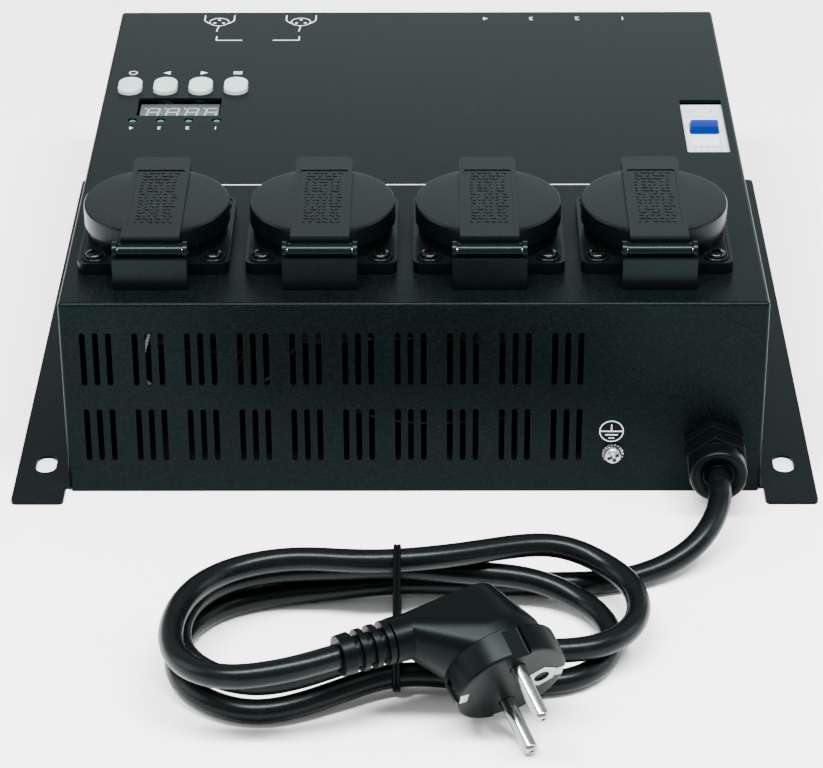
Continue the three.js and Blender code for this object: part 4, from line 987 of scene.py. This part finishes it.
def hingeBore(wide):
    bore = post(hinge["pin"] + hinge["play"], wide + 2, steps=24)
    return (bore, at(-wide / 2 - 1, hinge["y"], hinge["z"], alongX))


def socketContacts():
    floorZ = sockets["top"] - sockets["recessDepth"]
    parts = []
    for side in (-1, 1):
        y = side * (sockets["recess"] / 2 - 0.75)
        parts += [
            (ring(5.2, 4.2, 8, steps=32), at(side * sockets["contactReach"], 0, floorZ - 10)),
            (block(4.4, 0.7, 12, 0, 0.2), at(0, y, floorZ + 2)),
            (block(4.4, 1.6, 0.7, 0, 0.2), at(0, y - side * 0.4, floorZ + 13.4)),
        ]
    return gathered(*parts)


def makeSockets():
    pin = post(hinge["pin"], hinge["width"] - 0.3, 0.25, 24)
    rod = at(-hinge["width"] / 2 + 0.15, hinge["y"], hinge["z"], alongX)
    settleEach(socketBody(), socketPlaces, "socket_frame", "socket_plastic", "socket_body")
    settleEach(socketContacts(), socketPlaces, "socket_contacts", "nickel")
    settleEach(pin, [here @ rod for here in socketPlaces], "hinge_pin", "nickel", "lid_pin")
    screw = panScrew(6.2, 1.5, 2.8, 8.7)
    for number, here in enumerate(socketPlaces, 1):
        for letter, turn, spot in zip("abcd", (12, 48, 30, 70), screwPlaces):
            where = here @ spot @ at(z=sockets["top"] + 0.3, turn=(0, 0, turn))
            stands = f"socket_screw_{number}{letter}" if letter in "ab" else None
            settle(screw, where, f"flange_screw_{number}{letter}", "black_screw", stands)


# Lids: hollow round cap, raised strap with a sunk grained panel, and the hinge barrel
def capProfile():
    radius, low, top = lid["diameter"] / 2, lid["low"], lid["top"]
    inner = radius - lid["wall"]
    return [
        (0, top), (radius - 0.75, top), (radius - 0.3, top - 0.14), (radius - 0.06, top - 0.45),
        (radius, top - 0.8), (radius, low + 0.5), (radius - 0.3, low), (inner, low),
        (inner, top - lid["deck"]), (0, top - lid["deck"]),
    ]


def lidShape():
    strapTop, thick, wide = lid["strapTop"], lid["strapThick"], lid["strapWidth"]
    front, back, span = lid["strapFront"], lid["strapBack"], hinge["width"] - 2 * hinge["ear"] - 0.6
    strap = cuboid(wide, back - front, thick, at(0, (front + back) / 2, strapTop - thick / 2))
    bevelled(strap, [side for side in upright(strap, 1) if side.verts[0].co.y > 0], lid["strapCorner"], 6)
    nose = block(wide - 4.2, 1.9, lid["lip"] + 1.5, 0.9)
    neckLow = hinge["z"] - hinge["barrel"] / 4
    neckLength = -lid["diameter"] / 2 + lid["wall"] - front
    shape = built(
        joined(turned(capProfile(), 96), strap),
        (nose, at(0, back - 0.95, strapTop - lid["lip"] - thick)),
        (block(wide, neckLength, strapTop - neckLow), at(0, front + neckLength / 2, neckLow)),
        (post(hinge["barrel"], span), at(-span / 2, hinge["y"], hinge["z"], alongX)),
    )
    panelFrom, panelTo = front + 7.5, back - 10.6
    field = block(wide - 3.2, panelTo - panelFrom, 1, 1.2)
    shape = cut(shape, hingeBore(span), (field, at(0, (panelFrom + panelTo) / 2, strapTop - 0.25)))
    return cut(shape, (block(wide - 3.6, 0.6, 1, 0.25), at(0, panelTo - 0.2, strapTop - 0.7)))


def lidGrain():
    front, back = lid["strapFront"] + 11.5, lid["strapBack"] - 12.8
    rows, columns = grain["rows"], grain["columns"]
    bumps = []
    for row in range(rows):
        for column in range(columns):
            chance = math.sin(row * 12.9898 + column * 78.233) * 43.758
            chance -= math.floor(chance)
            x = (column - (columns - 1) / 2) * grain["across"] + (chance - 0.5) * 1.1
            y = front + (back - front) * row / (rows - 1)
            mark = block(grain["length"] * (0.6 + chance * 0.6), grain["width"], grain["thick"], 0, 0.12)
            bumps.append((mark, at(x, y, lid["strapTop"] - grain["sunk"], (0, 0, 180 * chance))))
    return gathered(*bumps)


def makeLids():
    seal = ring(lid["diameter"] - 4.2, lid["diameter"] - 9, 1.2, 0.3)
    sealPlaces = [here @ at(z=lid["top"] - lid["deck"] - 1.1) for here in socketPlaces]
    cap = rounded(lidShape(), 0.32, 35, 3)
    settleEach(cap, socketPlaces, "lid_cap", "socket_plastic", "socket_lid", "lid")
    settleEach(lidGrain(), socketPlaces, "lid_grain", "socket_plastic", rides="lid")
    settleEach(seal, sealPlaces, "lid_seal", "gland_nylon", rides="lid")


makeSockets()
makeLids()
print("sockets and lids made")


# Keys: obround caps with a rounded edge, each on a collar hidden under the hood
def makeKeys():
    wide, length, lip = keys["width"], keys["length"], keys["collar"]
    cap = obround(wide, length, keys["top"] - keys["low"] - 0.3, 0.7, 4)
    collar = obround(wide + lip, length + lip, 0.8, 0.15)
    shape = built(collar, (cap, at(z=0.3)), (post(3.2, 4, 0.2, 24), at(z=-3.9)))
    places = [at(x, keys["y"], keys["low"]) for x in keys["x"]]
    settleEach(shape, places, "key_cap", "key_plastic", "button", "key")


# Display: grey face with four unlit digits that face the rear, as the panel's print does
def digitShape():
    wide, tall, stroke = display["digitWidth"], display["digitHeight"], display["stroke"]
    thick, corner = display["thick"], display["stroke"] * 0.42
    bars = []
    for level in (-0.5, 0, 0.5):
        bars.append((block(wide - stroke * 1.3, stroke, thick, corner), at(y=level * (tall - stroke))))
    for across in (-0.5, 0.5):
        for level in (-0.25, 0.25):
            where = at(across * (wide - stroke * 0.2), level * (tall - stroke))
            bars.append((block(stroke, tall / 2 - stroke * 0.9, thick, corner), where))
    bars.append((post(0.9, thick, steps=24), at(-wide / 2 - 1.15, tall / 2 - 0.4)))
    lean = Matrix(((1, display["lean"], 0, 0), (0, 1, 0, 0), (0, 0, 1, 0), (0, 0, 0, 1)))
    return copied(gathered(*bars), lean)


def makeDisplay():
    height, rim = display["top"] - display["low"], display["rim"]
    box = block(display["width"], display["length"], height, 0.4, 0.25)
    well = block(display["width"] - rim, display["length"] - rim, 1, 0.3)
    box = cut(box, (well, at(z=height - display["sunk"])))
    where = at(display["x"], display["y"], display["low"])
    settle(box, where, "display_case", "display_face", "display_module")
    digits = []
    for index in range(4):
        x = display["digitX"] + (index - 1.5) * display["digitPitch"]
        digits.append((digitShape(), at(x, display["y"], display["top"] - 0.29)))
    settle(gathered(*digits), at(), "display_digits", "segment_white")


def makeLamps():
    radius, height, base = lamps["diameter"] / 2, lamps["top"] - lamps["low"], lamps["base"]
    dome = ((1, 0.55), (0.96, 0.36), (0.85, 0.19), (0.66, 0.08), (0.4, 0.02), (0, 0))
    profile = [(0, 0), (base, 0), (base, 0.9), (radius, 1.0)]
    shape = turned(profile + [(radius * share, height - down) for share, down in dome], 32)
    legs = gathered(*[
        (block(lamps["leg"], lamps["leg"], lamps["legLength"], 0, 0.08), at(side * lamps["legReach"]))
        for side in (-1, 1)
    ])
    places = [at(x, lamps["y"], lamps["low"]) for x in lamps["x"]]
    settleEach(shape, places, "channel_lamp", "lamp_green", "channel_led")
    settleEach(legs, [here @ at(z=-3.7) for here in places], "lamp_legs", "nickel")


# Prints on the hood: thin ink, numbers and plain symbols only
ink = {
    "thick": 0.08, "sunk": 0.03, "rule": (-2.5, 91.0, 171, 0.55), "signY": 190.6, "symbolY": 241,
    "texts": ((139.9, 3.4, lamps["x"]), (244.2, 4.4, (27.7, 46.3, 64.9, 83.3))),
    "links": ((-74.75, 10.5, -79.8), (-51.95, 10.7, -46.8)), "earthX": 67.9, "earthZ": 24.1,
}


def bar(x, y, wide, tall, turn=0):
    return (block(wide, tall, ink["thick"]), at(x, y, case["height"] - ink["sunk"], (0, 0, turn)))


def threeRound(middleX, middleY, radius, flip=1):
    turns = [math.radians(angle) for angle in (90, 210, 330)]
    return [(middleX + radius * math.cos(turn), middleY + flip * radius * math.sin(turn)) for turn in turns]


def inkOnTop():
    top, thick, y = case["height"] - ink["sunk"], ink["thick"], ink["symbolY"]
    first, second, third, fourth = keys["x"]
    marks = [
        bar(*ink["rule"]), (ring(3.4, 2.6, thick), at(first, ink["signY"], top)),
        (prism(3, 1.8, thick), at(second, ink["signY"], top, (0, 0, 90))),
        (prism(3, 1.8, thick), at(third, ink["signY"], top, (0, 0, -90))),
    ]
    marks += [bar(fourth, ink["signY"] + shift, 3.4, 0.5) for shift in (-1, 0, 1)]
    for textY, size, columns in ink["texts"]:
        for index, x in enumerate(columns):
            label = figure(str(4 - index), size, thick)
            marks.append((label, at(x, textY, top + thick / 2, (0, 0, 180))))
    for x, wide, endX in ink["links"]:
        marks += [bar(x, 222.4, wide, 0.6), bar(endX, 224.5, 0.5, 3.6)]
    for x in (rear["maleX"], rear["femaleX"]):
        marks += [(ring(8.2, 7.3, thick), at(x, y, top)), bar(x - 0.25, 234.1, 0.5, 5.4, -6)]
        for side in (-1, 1):
            marks += [bar(x + side * 5.0, 240.9, 0.5, 3.6, -side * 32), bar(x + side * 5.95, 245, 0.5, 5.6)]
        marks += [(post(1.25, thick, steps=20), at(*spot, top)) for spot in threeRound(x, y, 2.05)]
    return gathered(*marks)


def inkOnFront():
    marks = [(ring(8.4, 7.7, ink["thick"], steps=72), at())]
    for y, wide, tall in ((0, 7.8, 0.4), (-1.4, 4.4, 0.4), (-2.7, 1.9, 0.4), (1.4, 0.4, 2.6)):
        marks.append((block(wide, tall, ink["thick"]), at(0, y)))
    return gathered(*marks)


def makePrint():
    settle(inkOnTop(), at(), "panel_print", "print_ink")
    onFront = at(ink["earthX"], ink["sunk"], ink["earthZ"], toViewer)
    settle(inkOnFront(), onFront, "earth_mark", "print_ink")


# Breaker: stepped face, toggle well and blue lever
def breakerShape():
    low, top, wide, middle = breaker["low"], breaker["face"], breaker["width"], breaker["pivotY"]
    body = copied(block(wide, breaker["length"], top - 16 - low, 0.5, 0.3), at(z=low))
    shape = built(body, (block(wide, breaker["nose"], 18, 0.6, 0.35), at(z=top - 18)))
    tools = [
        (post(breaker["drum"] + 0.7, 12), at(-6, middle, breaker["pivotZ"], alongX)),
        (block(11.2, 19.5, 12), at(0, middle, top - 3.4)),
    ]
    tools += [(block(14, 0.4, 1), at(0, y, top - 0.35)) for y in breaker["lines"]]
    return rounded(cut(shape, *tools), 0.2, 50)


def breakerMarks():
    thick = breaker["ink"]
    marks = [(ring(2.2, 1.7, thick), at(-3.6, 16.2)), (block(0.4, 2.2, thick), at(3.6, 16.2))]
    for row, (y, shares) in enumerate(breaker["marks"]):
        for index, share in enumerate(shares):
            marks.append((block(share, 0.45, thick), at(-4.8 + index * 2.4 + row * 0.2, y)))
    return gathered(*marks)


def leverShape():
    wide = breaker["leverWidth"]
    drum = copied(post(breaker["drum"], wide, 0.25), at(-wide / 2, turn=alongX))
    paddle = block(wide, breaker["thick"], breaker["paddle"])
    upper = [side for side in paddle.edges if all(end.co.z > 10.8 for end in side.verts)]
    bevelled(paddle, upper, 0.8, 4)
    foot = (block(wide, 2.4, 4.0, 0, 0.5), at(0, -1.9, 4.6, (18, 0, 0)))
    grooves = [(block(12, 0.4, 0.4), at(0, 1.85, 7.0 + step * 0.9)) for step in range(3)]
    return rounded(cut(joined(drum, built(paddle, foot)), *grooves), 0.18, 40)


def makeBreaker():
    x, y = breaker["x"], breaker["y"]
    settle(breakerShape(), at(x, y), "breaker_case", "breaker_white", "breaker_body")
    settle(breakerMarks(), at(x, y, breaker["face"] - 0.02), "breaker_marks", "aluminium")
    rest = at(x, y + breaker["pivotY"], breaker["pivotZ"], (breaker["rest"], 0, 0))
    settle(leverShape(), rest, "breaker_toggle", "lever_blue", "breaker_lever", "lever")


# Cable gland: hexagon with a shank, and a domed nut with a smooth seal round the cord
def makeGland():
    corner, twist = gland["across"] / math.sqrt(3), (0, 0, gland["turn"])
    front = at(gland["x"], 0, gland["z"], toViewer)
    body = copied(prism(6, corner, gland["hex"], 0.35), at(turn=twist))
    body = built(body, (post(gland["shank"], 10, 0.3, 40), at(z=-10)))
    body = cut(body, (post(gland["bore"] - 1, 30), at(z=-15)))
    settle(body, front, "gland_hexagon", "gland_nylon", "gland_body")
    profile = [
        (0, 5.3), (9.3, 5.3), (9.7, 6.2), (9.7, 12.6), (9.45, 13.0), (9.45, 13.6), (9.85, 14.1),
        (9.9, 18.2), (9.8, 18.9), (9.5, 19.5), (9.0, 20.0), (8.3, 20.2), (7.2, 20.0), (6.2, 19.4),
        (5.5, 18.6), (0, 18.2),
    ]
    nutHex = (prism(6, corner, gland["nutHex"], 0.5), at(z=gland["nut"], turn=twist))
    nut = cut(built(turned(profile, 72), nutHex), (post(gland["bore"], 30), at()))
    settle(rounded(nut, 0.15, 50), front, "gland_dome", "gland_nylon", "gland_nut")
    seal = [(3.95, 8), (4.7, 8), (4.7, 19.0), (4.4, 19.5), (4.0, 19.3), (3.95, 18.6), (3.95, 8)]
    settle(turned(seal, 48), front, "gland_seal", "cord_sheath")


def makeEarth():
    front = at(earth["x"], 0, earth["z"], toViewer)
    screw = panScrew(earth["head"], earth["headHeight"], 3.8, 8.4)
    settle(screw, front @ at(z=1.0, turn=(0, 0, 22)), "earth_stud", "zinc_steel", "earth_screw")
    washer = [
        (block(1.1, 0.7, 0.32, 0, 0.06), at(turn=(0, 0, index * 20)) @ at(3.15, 0, 0.2, (24, 0, 0)))
        for index in range(earth["teeth"])
    ]
    washer.append((ring(6.4, 4.0, 0.35, 0.08, 48), at()))
    settle(gathered(*washer), front @ at(z=earth["gap"]), "earth_washer", "zinc_steel")


# Rear wall: flanged connectors, latch and fuse holders
def rearSpot(x, depth=0, up=0):
    return at(x, case["length"] + depth, rear["z"] + up, toRear)


def onScrews(shape, z, turn=0):
    across, along = rear["screws"]
    return [(shape.copy(), at(side * across, -side * along, z, (0, 0, turn))) for side in (-1, 1)]


def connectorTube():
    plate = cut(block(26, 31, 1.7, 3, 0.3), *onScrews(post(case["screwHole"], 4, steps=24), -1))
    return built(copied(plate, at(z=0.3)), (post(23.4, 25.7, 0.3, 64), at(z=-24)))


def makeInput(tube):
    face, cup = rear["face"], rear["cup"]
    male = cut(tube, (post(19, cup + 1), at(z=face - cup)))
    male = built(male, (block(2.2, 2.0, cup - 2, 0, 0.2), at(0, 8.9, face - cup)))
    pin = [(0, 0), (1.2, 0), (1.2, 12.0), (0.9, 12.7), (0.4, 13), (0, 13)]
    base = [(0, 0), (9.3, 0), (9.3, 0.8), (9.0, 1.1), (0, 1.1)]
    pins = [(turned(pin, 20), at(*spot)) for spot in threeRound(0, 0, rear["pinReach"], -1)]
    settle(male, rearSpot(rear["maleX"]), "control_input", "nickel", "xlr_male")
    cupFloor = rearSpot(rear["maleX"], face - cup)
    settle(gathered(*pins), cupFloor, "control_input_pins", "nickel")
    settle(turned(base, 48), cupFloor, "control_input_base", "gland_nylon")


def makeOutput(tube):
    face, room, x = rear["face"], rear["room"], rear["femaleX"]
    female = cut(tube, (post(18.6, 3), at(z=face - 1)))
    female = cut(female, (block(room, 5.2, 3), at(0, -10.45, face - 1.7)))
    holes = [(post(3, 6, steps=24), at(*spot, 1.4)) for spot in threeRound(0, 0, -rear["pinReach"])]
    core = cut(post(rear["core"], 4.1, 0.35, 56), *holes)
    core = cut(core, (block(room, 2.6, 4), at(0, -9.1, 0.8)))
    grooves = [(block(5, 0.3, 1), at(0, 0.9 - step * 0.9, 4.75)) for step in range(3)]
    tab = cut(block(7, 3, 5, 0.6, 0.4), *grooves)
    settle(female, rearSpot(x), "control_output", "nickel", "xlr_female")
    settle(core, rearSpot(x, face - 2.9), "control_output_core", "gland_nylon")
    settle(tab, rearSpot(x, 0.6, rear["latchUp"]), "connector_latch", "nickel", "xlr_latch", "latch")


def makeConnectors():
    tube = connectorTube()
    makeInput(tube.copy())
    makeOutput(tube)
    for name, x in (("input", rear["maleX"]), ("output", rear["femaleX"])):
        rivets = gathered(*onScrews(panScrew(4.6, 1.3, 2.8, 5), 2.0, 35))
        settle(rivets, rearSpot(x), f"control_{name}_screws", "black_screw")


def fuseHolder():
    bezel = turned([(0, 0.3), (7.5, 0.3), (7.5, 1.8), (7.0, 2.7), (6.3, 3.0), (0, 3.0)], 56)
    body = built(bezel, (post(12.2, 32.3, 0.3, 40), at(z=-31.7)))
    return rounded(cut(body, (post(8, 21, steps=40), at(z=-17))), 0.15, 45)


def fuseCap():
    profile = [
        (0, -6), (3.6, -6), (3.6, 0.3), (5.5, 0.3), (5.5, 5.6), (5.2, 6.5), (4.6, 7.0), (3.9, 7.0),
        (3.6, 6.7), (0, 6.7),
    ]
    tools = [(block(11.4, 1.4, 3), at(z=5.4))]
    for index in range(12):
        where = at(turn=(0, 0, index * 30 + 15)) @ at(5.65, 0, 1.4)
        tools.append((post(0.9, 6, steps=12), where))
    return rounded(cut(turned(profile, 56), *tools), 0.12, 45)


def makeFuses():
    places, tops = [[rearSpot(x, depth) for x in rear["fuseX"]] for depth in (0, 3)]
    settleEach(fuseHolder(), places, "fuse_socket", "gland_nylon", "fuse_holder")
    settleEach(fuseCap(), tops, "fuse_knob", "gland_nylon", "fuse_cap", "fuse")


# Inside: wires behind the slots, and the parts that keep their own shape
wires = (
    ("breaker_white", (
        (-84, 40, 67), (-88, 14, 65), (-90.5, 6, 58), (-94, 4.6, 46), (-93, 7, 40), (-88, 20, 30),
        (-80, 40, 20),
    )),
    ("terminal_plastic", (
        (-98, 40, 60), (-101, 14, 46), (-99, 6, 37), (-92, 5, 33), (-84, 7, 31), (-72, 20, 26),
        (-62, 60, 20),
    )),
    ("terminal_plastic", (
        (-80, 40, 60), (-85, 10, 40), (-84, 5, 34), (-78, 6, 31), (-66, 9, 30), (-50, 30, 26),
        (-40, 80, 20),
    )),
    ("cord_sheath", (
        (-30, 36, 50), (-34, 10, 36), (-20, 7, 26), (5, 8, 22), (30, 9, 24), (55, 20, 22), (75, 34, 14),
    )),
)
wireThick = 1.3
keptParts = {
    "base_plate": "zinc_steel", "control_board": "circuit_board", "power_board": "circuit_board",
    "heat_sink": "aluminium", "terminal_block": "terminal_plastic", "transformer": "transformer_core",
    "breaker_rail": "zinc_steel", "gland_locknut": "gland_nylon",
}


def finishInside():
    for number, (finish, points) in enumerate(wires, 1):
        settle(strand(points, wireThick), at(), f"inner_wire_{number}", finish)
    for name, finish in keptParts.items():
        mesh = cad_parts[name].data
        mesh.materials.clear()
        mesh.materials.append(finishes[finish])


makeKeys()
makeDisplay()
makeLamps()
makePrint()
print("keys, display, lamps and print made")
makeBreaker()
makeGland()
makeEarth()
makeConnectors()
makeFuses()
finishInside()
print("breaker, gland, connectors and inner parts made")
